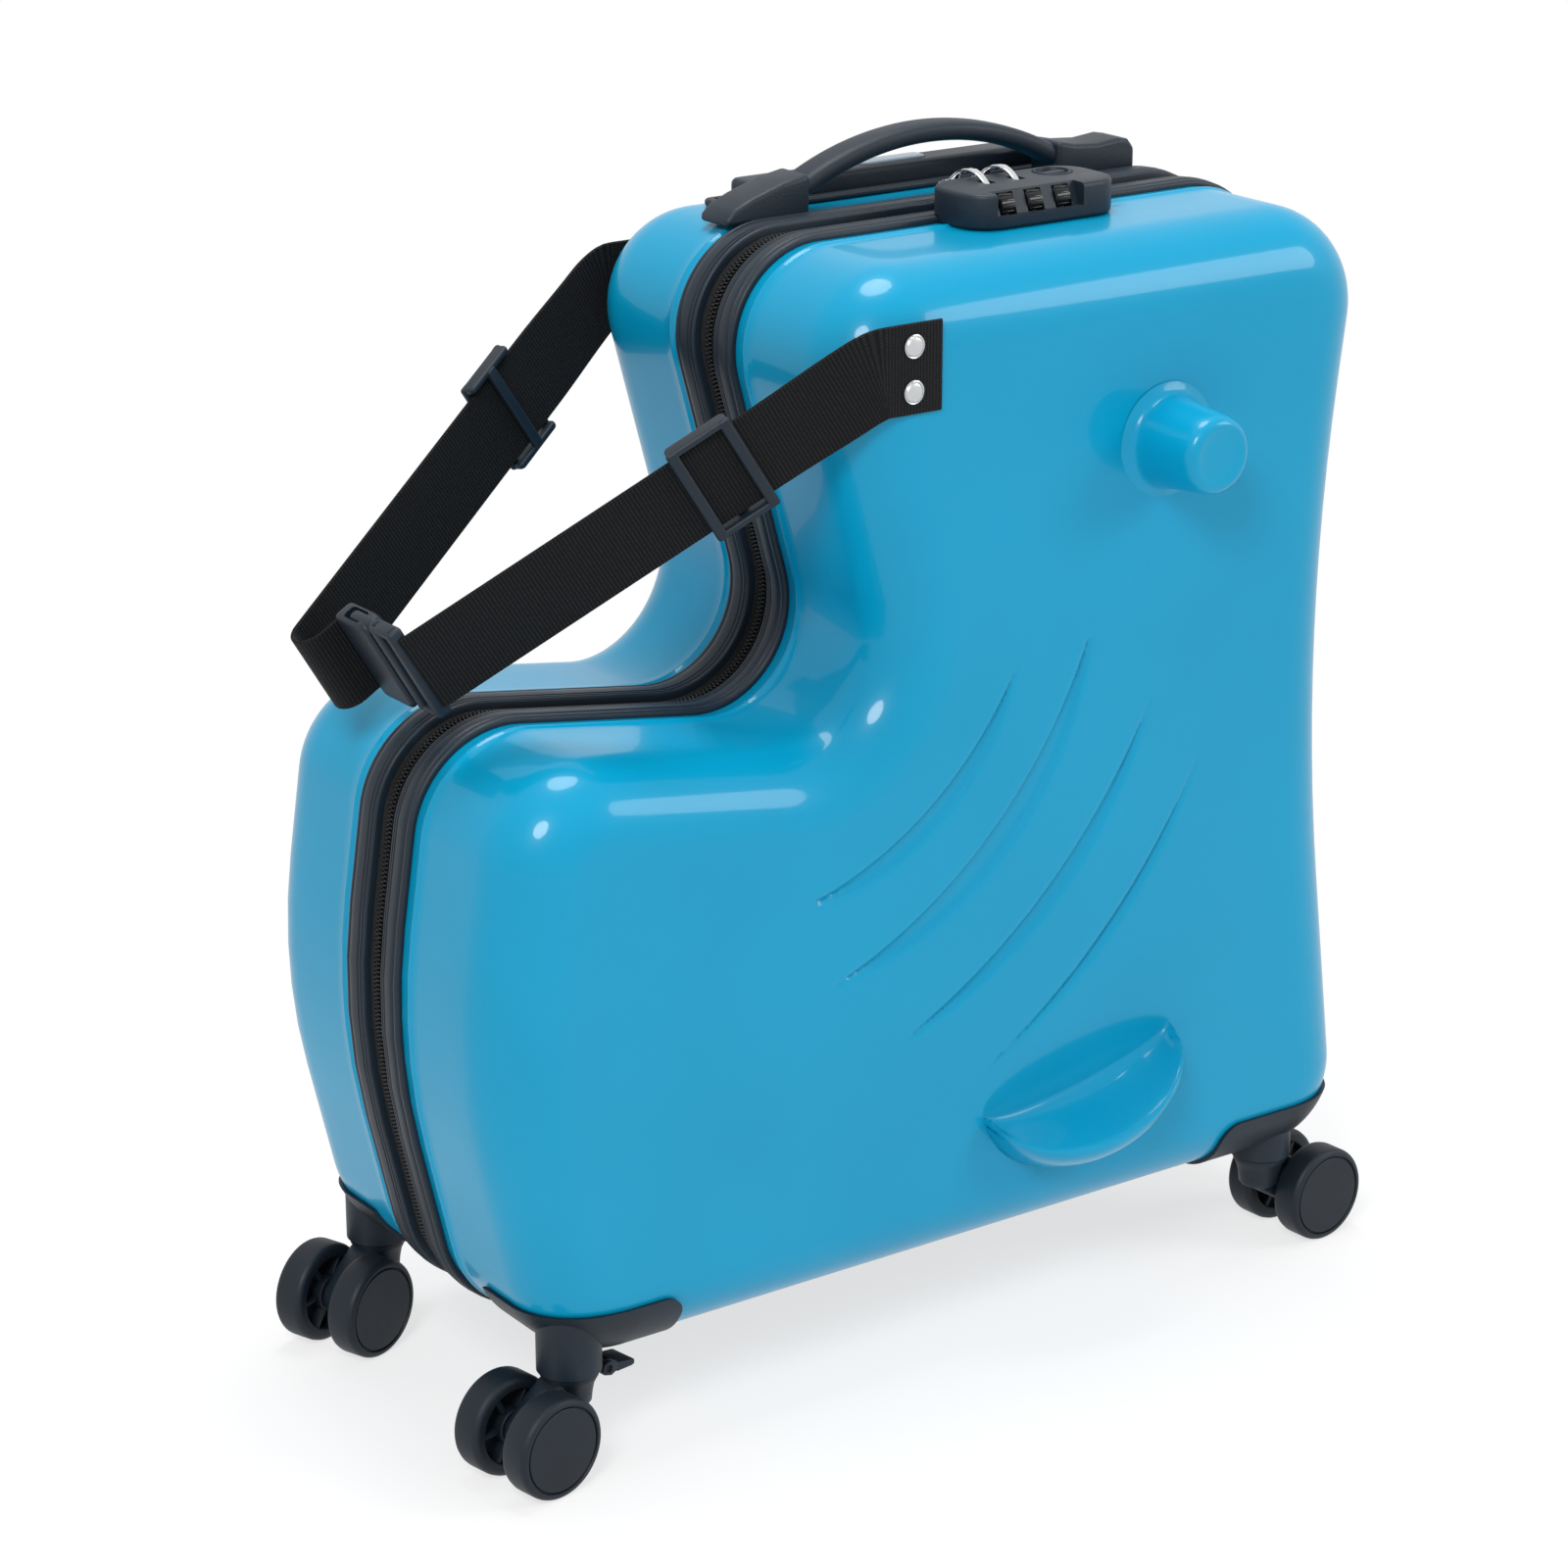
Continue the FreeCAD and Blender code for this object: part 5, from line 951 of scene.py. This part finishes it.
class CASE_OT_lock(bpy.types.Operator):
    """Build the combination lock with its dials and key cylinder"""

    bl_idname = "ride_case.lock"
    bl_label = "Lock"

    def execute(self, context):
        self.housing()
        for number, x in enumerate(DIALS, start=1):
            self.dial(number, DIAL_AT + Vector((x, 0, 0)))
        self.key()
        return {"FINISHED"}

    def housing(self):
        """Rounded housing with a ledge, dial windows, pull slots and the key's bore."""
        bm = bmesh.new()
        low, high = zip(LOCK_X, LOCK_Y, LOCK_Z)
        block(bm, low, high, 15.0, 2.0)
        cutter = bmesh.new()
        block(cutter, (30, LOCK_STEP[0], TOP - 1.8), (140, 2, LOCK_STEP[1]), 0, 0)
        across = Matrix.Translation((0, 0, TOP)) @ Matrix.Rotation(math.radians(90), 4, "Z")
        prism(cutter, LEDGE, -LEDGE_X[1], -LEDGE_X[0], 0, across)
        for x in DIALS:
            block(cutter, (x - 4.5, -47.2, DIAL_AT.z - 5.3), (x + 4.5, -36.2, DIAL_AT.z + 5.3), 0, 0)
        for x in SLIDERS:
            block(cutter, (x - 2.9, -27.8, TOP + 9.7), (x + 2.9, -20.0, TOP + 19), 1.2, 0)
        spun(cutter, KEY_BORE, Matrix.Translation(KEY))
        settle(carve(bm, cutter), "lock_housing", "right_half", "plastic", "lock_body", 32.0)

    def dial(self, number, spot):
        """Dial with a milled rim."""
        bm = bmesh.new()
        rim = DIAL_RADIUS - 0.4
        profile = [(1.58, -4.0), (rim - 0.7, -4.0), (rim, -3.4), (rim, 3.4), (rim - 0.7, 4.0), (1.58, 4.0),
                   (1.58, -4.0)]
        spun(bm, profile, turned_to((1, 0, 0), spot), 40)
        for index in range(DIAL_RIDGES):
            turn = Matrix.Rotation(math.tau * (index + 0.5) / DIAL_RIDGES, 4, "X")
            place = Matrix.Translation(spot) @ turn
            block(bm, (-3.4, -0.8, rim - 0.6), (3.4, 0.8, DIAL_RADIUS), 0, 0.3, place)
        settle(bm, f"dial_{number}", f"dial_{number}", "gloss", f"lock_dial_{number}")

    def key(self):
        """Key cylinder: a dished face with a finger bar across it."""
        bm = bmesh.new()
        place = Matrix.Translation(KEY)
        spun(bm, KEY_PROFILE, place, 64)
        block(bm, (-6.7, -2.2, 12.5), (6.7, 1.8, 15.6), 1.8, 0.7, place)
        settle(bm, "key_barrel", "key_cylinder", "plastic", "lock_key_cylinder")


class CASE_OT_pulls(bpy.types.Operator):
    """Build the chrome zip sliders and their curved pulls"""

    bl_idname = "ride_case.pulls"
    bl_label = "Zip pulls"

    def execute(self, context):
        bm = bmesh.new()
        for x in SLIDERS:
            block(bm, (x - 6, -5.5, TOP + 0.4), (x + 6, 5.5, TOP + 5.5), 3.0, 1.4)
            for low in (x - 4.35, x + 2.75):
                block(bm, (low, 0.0, TOP + 4.0), (low + 1.6, 5.2, TOP + 12.1), 2.4, 0.4, axis=0)
            pin = [(0, -4.0), (1.2, -4.0), (1.2, 4.0), (0, 4.0)]
            spun(bm, pin, turned_to((1, 0, 0), (x, PIN.y, PIN.z)), 20)
        settle(bm, "sliders", "right_half", "chrome", "zip_sliders")
        for number, x in enumerate(SLIDERS, start=1):
            self.pull(number, x)
        return {"FINISHED"}

    def pull(self, number, x):
        """One pull: an arched, tapering bar with an eye at its root."""
        bm = bmesh.new()
        bend = (PIN + PULL_TIP) / 2 + Vector((0, 0, 2 * PULL_ARCH))
        frames = []
        for step in range(PULL_STEPS + 1):
            t = step / PULL_STEPS
            spot = curve(PIN, bend, PULL_TIP, t) + Vector((x, 0, 0))
            ahead = (1 - t) * (bend - PIN) + t * (PULL_TIP - bend)
            taper = Matrix.Diagonal((1.2 - 0.55 * t, 1, 1, 1))
            frames.append(frame_at(spot, ahead, (1, 0, 0)) @ taper)
        carry(bm, rounded_section(4.4, 1.3, 0.55), frames)
        eye = [(1.28, -2.25), (2.9, -2.25), (3.2, -1.9), (3.2, 1.9), (2.9, 2.25), (1.28, 2.25), (1.28, -2.25)]
        spun(bm, eye, turned_to((1, 0, 0), (x, PIN.y, PIN.z)), 24)
        settle(bm, f"pull_{number}", f"pull_{number}", "chrome", f"zip_pull_{number}")


# Carry handle and trolley

HANDLE_X = 78.0
HANDLE_Y = 31.8
ARCH_RADIUS = 146.0
ARCH_CROWN = TOP + 28.5
ARCH_END = 76.0
# Half width and half height of the grip's section, and how boxy it is each way
GRIP_HALF = (8.5, 4.5)
GRIP_BOXY = (0.62, 0.7)
# Side outlines of the mounts, from the grip's middle and above the case: a saddle in front, a wedge behind
SADDLE = [(68, 0), (68, 17.5), (78, 15.4), (91, 14.4), (103, 15.6), (108.5, 14.6), (112, 10.5), (112, 0)]
WEDGE = [(68, 0), (68, 18.5), (82, 16.0), (98, 11.0), (107, 7.2), (111, 3.6), (112, 0)]
MOUNT_HALF = 10.5


class CASE_OT_handle(bpy.types.Operator):
    """Build the arched carry grip between its two mounts"""

    bl_idname = "ride_case.handle"
    bl_label = "Carry handle"

    def execute(self, context):
        bm = bmesh.new()
        reach = math.asin(ARCH_END / ARCH_RADIUS)
        frames = []
        for step in range(-20, 21):
            angle = reach * step / 20
            spot = Vector((HANDLE_X + ARCH_RADIUS * math.sin(angle), HANDLE_Y,
                           ARCH_CROWN - ARCH_RADIUS * (1 - math.cos(angle))))
            frames.append(frame_at(spot, (math.cos(angle), 0, -math.sin(angle)), (0, 1, 0)))
        carry(bm, self.section(), frames)
        settle(bm, "carry_grip", "left_half", "rubber", "carry_handle_grip", 30.0)
        bm = bmesh.new()
        for way, outline in ((-1, WEDGE), (1, SADDLE)):
            place = Matrix.Translation((HANDLE_X, HANDLE_Y, TOP + 0.2)) @ Matrix.Diagonal((way, 1, 1, 1))
            prism(bm, outline, -MOUNT_HALF, MOUNT_HALF, 2.2, place)
        settle(bm, "carry_mounts", "left_half", "plastic", "carry_handle_mounts", 40.0)
        return {"FINISHED"}

    def section(self):
        """Grip section: a soft-cornered oval."""
        points = []
        for step in range(28):
            angle = math.tau * step / 28
            points.append([half * math.copysign(abs(part) ** boxy, part) for half, boxy, part
                           in zip(GRIP_HALF, GRIP_BOXY, (math.cos(angle), math.sin(angle)))])
        return points


TROLLEY_Y = 56.0
TUBE_HALF = 62.0


class CASE_OT_trolley(bpy.types.Operator):
    """Build the trolley's bezel, pull-out grip and release button"""

    bl_idname = "ride_case.trolley"
    bl_label = "Trolley"

    def execute(self, context):
        place = Matrix.Translation((HANDLE_X, TROLLEY_Y, TOP))
        self.bezel(place)
        self.grip(place)
        for node in ("trolley_outer_tubes", "trolley_middle_tubes", "trolley_inner_tubes"):
            repaint(node, "tube")
        repaint("trolley_foot", "plastic")
        return {"FINISHED"}

    def bezel(self, place):
        """Flanged well that the grip drops into, with holes for the tubes."""
        bm = bmesh.new()
        block(bm, (-93, -13, 0.2), (93, 13, 3.5), 5.0, 1.4, place)
        block(bm, (-90, -10, -16), (90, 10, 2), 2.0, 0, place)
        cutter = bmesh.new()
        block(cutter, (-89, -9, -12), (89, 9, 8), 2.0, 0, place)
        for x in (-TUBE_HALF, TUBE_HALF):
            block(cutter, (x - 8.8, -5.3, -20), (x + 8.8, 5.3, -8), 3.4, 0, place)
        settle(carve(bm, cutter), "bezel", "left_half", "plastic", "trolley_bezel")

    def grip(self, place):
        """Grip bar with its button in a recess."""
        bm = bmesh.new()
        block(bm, (-82, -8.5, 0), (82, 8.5, 12), 5.0, 2.6, place)
        cutter = bmesh.new()
        block(cutter, (-17.5, -5, 3), (17.5, 5, 18), 3.4, 0, place)
        settle(carve(bm, cutter), "pull_grip", "trolley_inner_stage", "plastic", "trolley_grip")
        bm = bmesh.new()
        block(bm, (-17, -4.5, 6), (17, 4.5, 13.2), 3.0, 1.0, place)
        settle(bm, "release_button", "trolley_release", "grey", "trolley_button")


# Seat belt

BELT_LEAN = math.radians(31.0)
BELT_WIDTH = Vector((-math.sin(BELT_LEAN), 0, math.cos(BELT_LEAN)))
BELT_BACK = Vector((-math.cos(BELT_LEAN), 0, -math.sin(BELT_LEAN)))
BELT_SHEET = 1.6
PATCH_FRONT = -12.0
PATCH_REAR = -45.0
PATCH_Z = TOP - 37.5
PATCH_Y = 101.0
RIVET_X = -26.5
RIVET_RISE = 9.5
# Radius and height of a rivet's domed head with its pressed rim
RIVET_HEAD = [
    (2.0, 0), (5.0, 0), (5.0, 0.45), (4.7, 0.6), (4.35, 0.45), (4.15, 0.8), (3.7, 1.3), (3.2, 1.5), (0, 1.6)]
# Length of the bend behind the patch, and the share of the lean that the webbing has reached there
BEND_LONG = 12.0
BEND_LEAN = 0.55
BUCKLE = Vector((-217.0, 0, BOTTOM + 294.0))
PLUG_END = Vector((0, -27.2, 0))
SOCKET_END = Vector((0, 18.0, 0))
TURN_RADIUS = 9.0
TURN_CENTRE = BUCKLE + SOCKET_END + Vector((0, TURN_RADIUS, 0)) + BELT_BACK * 12.0
SLIDER_AT = 0.34


def free_run(side):
    """Upper and lower end of one side's straight webbing."""
    top = Vector((PATCH_REAR, side * PATCH_Y, PATCH_Z))
    if side < 0:
        return top, BUCKLE + PLUG_END
    aim = top - TURN_CENTRE
    angle = math.atan2(aim.y, -aim.dot(BELT_BACK)) - math.asin(TURN_RADIUS / aim.length)
    return top, turn_point(math.pi - angle)


def turn_point(angle):
    """Point of the left webbing's turn behind the buckle."""
    return TURN_CENTRE + TURN_RADIUS * (Vector((0, -math.cos(angle), 0)) + BELT_BACK * math.sin(angle))


def webbing_line(side):
    """Middle line of one side's webbing, with the width's direction at each point."""
    top, low = free_run(side)
    ahead = (low - top).normalized()
    upright = Vector((0, 0, 1))
    line = [(Vector((PATCH_FRONT - d, side * PATCH_Y, PATCH_Z)), upright) for d in range(0, 29, 4)]
    start, end = top + Vector((4.0, 0, 0)), top + ahead * BEND_LONG
    for step in range(1, 9):
        t = step / 8
        line.append((curve(start, top, end, t), upright.lerp(BELT_WIDTH, smooth_step(0, 1, t) * BEND_LEAN)))
    steps = round((low - end).length / 6)
    for step in range(1, steps + 1):
        t = step / steps
        lean = BEND_LEAN + (1 - BEND_LEAN) * smooth_step(0, 0.2, t)
        line.append((end.lerp(low, t), upright.lerp(BELT_WIDTH, lean)))
    return line + (turn_line(ahead) if side > 0 else [])


def turn_line(ahead):
    """Turn of the left webbing behind the buckle, and its tail in the socket."""
    last = math.acos(-ahead.dot(BELT_BACK))
    line = [(turn_point(last * (1 - step / 12)), BELT_WIDTH) for step in range(1, 13)]
    tail = BUCKLE + SOCKET_END - BELT_BACK * 5.0
    return line + [(turn_point(0).lerp(tail, step / 3), BELT_WIDTH) for step in range(1, 4)]


class CASE_OT_belt(bpy.types.Operator):
    """Lay the seat belt's webbing, rivet it to the shells and thread its sliders"""

    bl_idname = "ride_case.belt"
    bl_label = "Seat belt"

    def execute(self, context):
        for name, side in SIDES.items():
            self.band(name, side)
            self.rivets(name, side)
            self.slider(name, side)
        return {"FINISHED"}

    def band(self, name, side):
        """One side's length of webbing."""
        line = webbing_line(side)
        spots = [spot for spot, _ in line]
        frames = []
        for index, (spot, width) in enumerate(line):
            ahead = spots[min(index + 1, len(spots) - 1)] - spots[max(index - 1, 0)]
            frames.append(frame_at(spot, ahead, width))
        bm = bmesh.new()
        wide = millimetres("webbing")
        length = carry(bm, self.section(wide), frames)
        piece = settle(bm, f"webbing_{name}", f"{name}_half", "webbing", f"{name}_belt", 40.0)

    def section(self, width):
        """Webbing section: flat faces in a few strips and round selvages."""
        half, face = width / 2, BELT_SHEET / 2
        upper = [(half - width * i / 8, face) for i in range(9)]
        upper[0], upper[-1] = (half - 0.5, face), (0.5 - half, face)
        lower = [(-u, -v) for u, v in upper]
        return upper + [(-half, 0.35), (-half, -0.35)] + lower + [(half, -0.35), (half, 0.35)]

    def rivets(self, name, side):
        """Two domed rivets with a pressed rim."""
        bm = bmesh.new()
        face = PATCH_Y + BELT_SHEET / 2 + 0.2
        shank = [(0, 94.5), (3.2, 94.5), (3.2, 95.4), (2.0, 95.4)]
        profile = shank + [(radius, face + height) for radius, height in RIVET_HEAD]
        for z in (PATCH_Z - RIVET_RISE, PATCH_Z + RIVET_RISE):
            spun(bm, profile, turned_to((0, side, 0), (RIVET_X, 0, z)), 40)
        settle(bm, f"rivets_{name}", f"{name}_half", "steel", f"{name}_belt_rivets", 30.0)

    def slider(self, name, side):
        """Three-bar slider: two bars in front of the webbing, one behind it."""
        top, low = free_run(side)
        ahead = (low - top).normalized() * side
        out = ahead.cross(BELT_WIDTH).normalized()
        place = axes_frame(ahead, out.cross(ahead), out, top.lerp(low, SLIDER_AT))
        clear = BELT_SHEET / 2 + 0.4
        bm = bmesh.new()
        for x in (-15.0, 10.0):
            block(bm, (x, -23.5, clear), (x + 5, 23.5, clear + 3.0), 1.4, 1.2, place)
        block(bm, (-2.6, -22.5, -clear - 2.6), (2.6, 22.5, -clear), 0.8, 1.1, place)
        for y in (-23.5, 20.3):
            block(bm, (-14.4, y, -clear - 2.2), (14.4, y + 3.2, clear + 2.8), 2.4, 1.2, place, 1)
        settle(bm, f"slider_{name}", f"{name}_slider", "plastic", f"{name}_belt_slider")


class CASE_OT_buckle(bpy.types.Operator):
    """Build the side-release buckle between the two webbings"""

    bl_idname = "ride_case.buckle"
    bl_label = "Buckle"

    def execute(self, context):
        axis = Vector((0, 1, 0))
        place = axes_frame(axis, BELT_WIDTH, axis.cross(BELT_WIDTH), BUCKLE)
        self.plug(place)
        self.socket(place)
        return {"FINISHED"}

    def plug(self, place):
        """Plug: a ladder for the webbing, two spring arms and a guide between them."""
        bm = bmesh.new()
        for near, far in ((-27, -22), (-15, -9)):
            block(bm, (near, -23, -3.4), (far, 23, 3.4), 0, 1.6, place)
        for y in (-23.0, 19.6):
            block(bm, (-26, y, -3.3), (-10, y + 3.4, 3.3), 0, 1.4, place)
        for y in (-23.4, 14.4):
            block(bm, (-10, y, -2.6), (7, y + 9, 2.6), 2.0, 1.8, place)
        block(bm, (-10, -2.4, -2.4), (6, 2.4, 2.4), 0, 0.8, place)
        settle(bm, "plug", "right_half", "plastic", "buckle_plug")

    def socket(self, place):
        """Socket: a hollow housing with a window at each side for the plug's arms."""
        bm = bmesh.new()
        block(bm, (-8.5, -23, -5), (17, 23, 5), 4.0, 2.2, place)
        cutter = bmesh.new()
        block(cutter, (-12, -19, -3.2), (11, 19, 3.2), 0, 0, place)
        block(cutter, (-3, -26, -3.2), (10, 26, 3.2), 2.0, 0, place, 1)
        settle(carve(bm, cutter), "socket", "left_half", "plastic", "buckle_socket")


# Casters

# Name: swivel axis x, side, heading of the trail in degrees, has a brake
CASTERS = {
    "rear_right": (-186.0, -1, 190.0, True),
    "rear_left": (-186.0, 1, 200.0, True),
    "front_right": (198.0, -1, 4.0, False),
    "front_left": (198.0, 1, 172.0, False),
}
STEM_Y = 80.0
TRAIL = 24.0
WHEEL_IN = 7.6
WHEEL_OUT = 22.6
WHEEL_ROUND = 3.0
SPOKES = 6
# Radius and distance inside the outer face of a wheel's disc, out to the groove round it
DISC = [(0, 0.1), (14.0, 0.1), (18.2, 0.25), (18.5, 0.5), (18.7, 1.3), (19.1, 1.3), (19.3, 0.35), (19.5, 0.1)]
# Radius and height of the fork's head; side outlines, along the trail, of its blade and of the brake
HEAD = [
    (0, 47.8), (5.0, 47.8), (5.0, 44.0), (12.0, 44.0), (12.5, 43.5), (12.5, 41.8), (11.8, 40.6), (10.6, 38.0),
    (9.8, 34.0), (9.4, 30.0), (8.6, 29.0), (0, 29.0),
]
BLADE = [
    (-6.0, 42.0), (-6.2, 30.0), (-3.0, 26.0), (14.0, 15.6), (20.0, 14.0), (27.0, 14.6), (31.0, 18.0),
    (32.0, 22.5), (31.0, 27.0), (27.0, 30.4), (20.0, 36.5), (11.5, 42.0),
]
BRAKE_EYE = [
    (-22.5, 38.2), (-18.0, 36.4), (-14.0, 37.6), (-12.9, 40.0), (-14.0, 42.4), (-18.0, 43.4), (-22.5, 41.0)]
BRAKE_PLATE = [(-31.4, 37.2), (-29.5, 36.8), (-21.0, 37.0), (-21.0, 41.4), (-29.5, 40.0), (-31.4, 39.6)]
BRAKE_HALF = 7.0


class CASE_OT_casters(bpy.types.Operator):
    """Build the four double casters with forks, brakes and wheels"""

    bl_idname = "ride_case.casters"
    bl_label = "Casters"

    def execute(self, context):
        for name, (stem, side, heading, braked) in CASTERS.items():
            turn = Matrix.Rotation(math.radians(heading), 4, "Z")
            place = Matrix.Translation((stem, side * STEM_Y, 0)) @ turn
            self.fork(name, place, braked)
            for which, way in (("a", -1), ("b", 1)):
                self.wheel(f"wheel_{name}_{which}", way, place)
            if braked:
                self.brake(name, place)
            repaint(f"caster_axle_{name}", "steel")
            repaint(f"caster_bracket_{name}", "plastic")
        return {"FINISHED"}

    def wheel(self, name, way, place):
        """Wheel with a flat outer disc, a groove round it, a rounded tread and a spoked inner side."""
        radius = millimetres("wheel")
        deep = WHEEL_IN + 6.0
        bm = bmesh.new()
        hub = place @ turned_to((0, way, 0), (TRAIL, 0, radius))
        spun(bm, self.wheel_profile(radius, deep), hub, 64)
        for spoke in range(SPOKES):
            spot = hub @ Matrix.Rotation(math.tau * spoke / SPOKES, 4, "Z")
            block(bm, (7.5, -1.1, WHEEL_IN + 1.5), (17.0, 1.1, deep + 0.5), 0, 0.3, spot)
        settle(bm, name, name, "wheel", f"caster_{name}", 32.0)

    def wheel_profile(self, radius, deep):
        """Radius and distance from the fork's middle, from the outer face round the tread to the bore."""
        inner, outer, curl = WHEEL_IN, WHEEL_OUT, WHEEL_ROUND
        turn = [math.pi / 2 * i / 6 for i in range(7)]
        core = radius - curl
        profile = [(r, outer - d) for r, d in DISC]
        profile += [(core + curl * math.sin(a), outer - curl + curl * math.cos(a)) for a in turn[1:]]
        profile += [(core + curl * math.cos(a), inner + curl - curl * math.sin(a)) for a in turn[::2]]
        return profile + [
            (17.2, inner + 0.1), (16.8, inner + 0.6), (16.6, deep), (8.0, deep), (8.0, inner + 0.4),
            (7.6, inner), (3.08, inner), (3.08, outer - 3.0), (0, outer - 3.0)]

    def fork(self, name, place, braked):
        """Swivel fork: a round head, a tapering neck and a blade down to the axle."""
        bm = bmesh.new()
        spun(bm, HEAD, place, 40)
        prism(bm, BLADE, -6.9, 6.9, 2.0, place)
        if braked:
            block(bm, (-18.3, -3, 37.4), (-6, 3, 42.6), 0, 1.0, place)
            pin = [(0, -BRAKE_HALF), (1.8, -BRAKE_HALF), (1.8, BRAKE_HALF), (0, BRAKE_HALF)]
            spun(bm, pin, place @ turned_to((0, 1, 0), (-16.5, 0, 40.0)), 20)
        settle(bm, f"fork_{name}", f"fork_{name}", "plastic", f"caster_fork_{name}", 40.0)

    def brake(self, name, place):
        """Brake pedal: two eyes on the ear's pin and a foot plate."""
        bm = bmesh.new()
        for low in (-BRAKE_HALF, BRAKE_HALF / 2):
            prism(bm, BRAKE_EYE, low, low + BRAKE_HALF / 2, 0.7, place)
        prism(bm, BRAKE_PLATE, -BRAKE_HALF, BRAKE_HALF, 0.8, place)
        settle(bm, f"pedal_{name}", f"brake_{name}", "plastic", f"caster_brake_{name}")


# Studio

EYE = (-1.0347, -1.4398, 0.8613)
LOOK_DOWN = math.radians(19.2)
LOOK_ROUND = math.radians(-35.2)
LENS = 97.2
AIM = Vector((0, 0, 0.25))
# Lamp: place, width and power
LAMPS = {
    "key": ((-1.9, -1.7, 2.3), 1.0, 54.0),
    "fill": ((1.9, -1.6, 1.5), 1.2, 23.0),
    "top": ((0.1, 0.2, 2.4), 1.0, 30.0),
}
# Level of the even light round the case
AMBIENT = 0.42


def seen_directly(tree):
    """One for what the camera, mirrors and glass see, zero for what only lights the case."""
    rays = add(tree, "LightPath").outputs
    seen = {0: rays["Is Camera Ray"], 1: rays["Is Glossy Ray"]}
    mirror = add(tree, "Math", seen, operation="ADD").outputs[0]
    glass = rays["Is Transmission Ray"]
    return add(tree, "Math", {0: mirror, 1: glass}, operation="ADD", use_clamp=True).outputs[0]


class CASE_OT_stage(bpy.types.Operator):
    """Set the white floor, the soft studio lamps and the camera"""

    bl_idname = "ride_case.stage"
    bl_label = "Studio"

    def execute(self, context):
        scene = context.scene
        scene.view_settings.view_transform = "Standard"
        self.floor(scene)
        self.world(scene)
        self.lamps(scene)
        data = bpy.data.cameras.new("camera")
        data.lens = LENS
        data.sensor_width = 36.0
        camera = bpy.data.objects.new("camera", data)
        camera.location = EYE
        camera.rotation_euler = (math.pi / 2 - LOOK_DOWN, 0, LOOK_ROUND)
        scene.collection.objects.link(camera)
        scene.camera = camera
        return {"FINISHED"}

    def floor(self, scene):
        """White paper floor under the case."""
        bm = bmesh.new()
        bmesh.ops.create_grid(bm, x_segments=1, y_segments=1, size=6.0)
        mesh = bpy.data.meshes.new("floor")
        bm.to_mesh(mesh)
        bm.free()
        mesh.materials.append(self.paper(scene))
        plane = bpy.data.objects.new("floor", mesh)
        scene.collection.objects.link(plane)

    def paper(self, scene):
        """Matt white paper: a faint shadow near the case, plain white away from it."""
        material, tree, shader = new_material("studio_paper")
        wire(tree, shader, {
            "Base Color": (*scene.case_colours.floor, 1), "Roughness": 0.9, "Specular IOR Level": 0.0})
        place = add(tree, "TexCoord").outputs["Object"]
        away = add(tree, "VectorMath", {0: place}, operation="LENGTH").outputs["Value"]
        fade = add(tree, "MapRange", {"Value": away, "From Min": 0.25, "From Max": 0.7, "To Min": 0.7},
                   interpolation_type="SMOOTHSTEP").outputs[0]
        white = add(tree, "Emission", {"Color": (1, 1, 1, 1), "Strength": 1.0}).outputs[0]
        amount = add(tree, "Math", {0: fade, 1: seen_directly(tree)}, operation="MULTIPLY").outputs[0]
        sheet = add(tree, "MixShader", {0: amount, 1: shader.outputs[0], 2: white}).outputs[0]
        wire(tree, tree.nodes["Material Output"], {"Surface": sheet})
        return material

    def world(self, scene):
        """White for what the camera and mirrors see, a weaker even light for the case."""
        scene.world = bpy.data.worlds.new("studio")
        scene.world.use_nodes = True
        tree = scene.world.node_tree
        level = add(tree, "MapRange", {"Value": seen_directly(tree), "To Min": AMBIENT, "To Max": 1.0})
        wire(tree, tree.nodes["Background"], {"Color": (1, 1, 1, 1), "Strength": level.outputs[0]})

    def lamps(self, scene):
        """Round soft boxes: key from the upper left, fill from the right, one overhead."""
        for name, (spot, size, power) in LAMPS.items():
            data = bpy.data.lights.new(name, "AREA")
            data.shape = "DISK"
            data.size = size
            data.energy = power
            lamp = bpy.data.objects.new(name, data)
            lamp.location = spot
            lamp.rotation_euler = (AIM - Vector(spot)).to_track_quat("-Z", "Y").to_euler()
            scene.collection.objects.link(lamp)


class CASE_PT_panel(bpy.types.Panel):
    """Lists the steps that dress the case"""

    bl_label = "Ride-on case"
    bl_idname = "CASE_PT_panel"
    bl_space_type = "VIEW_3D"
    bl_region_type = "UI"
    bl_category = "Ride-on case"

    def draw(self, context):
        for operator in STEPS:
            self.layout.operator(operator.bl_idname)


STEPS = [
    CASE_OT_stage, CASE_OT_shells, CASE_OT_rim, CASE_OT_lining, CASE_OT_lock, CASE_OT_pulls,
    CASE_OT_handle, CASE_OT_trolley, CASE_OT_belt, CASE_OT_buckle, CASE_OT_casters,
]
CLASSES = [CaseSizes, CaseColours, *STEPS, CASE_PT_panel]


def register():
    for item in CLASSES:
        bpy.utils.register_class(item)
    bpy.types.Scene.case_sizes = PointerProperty(type=CaseSizes)
    bpy.types.Scene.case_colours = PointerProperty(type=CaseColours)


def unregister():
    del bpy.types.Scene.case_sizes
    del bpy.types.Scene.case_colours
    for item in reversed(CLASSES):
        bpy.utils.unregister_class(item)


def main():
    """Dress every piece."""
    register()
    for operator in STEPS:
        group, step = operator.bl_idname.split(".")
        getattr(getattr(bpy.ops, group), step)()


if __name__ == "__main__":
    main()
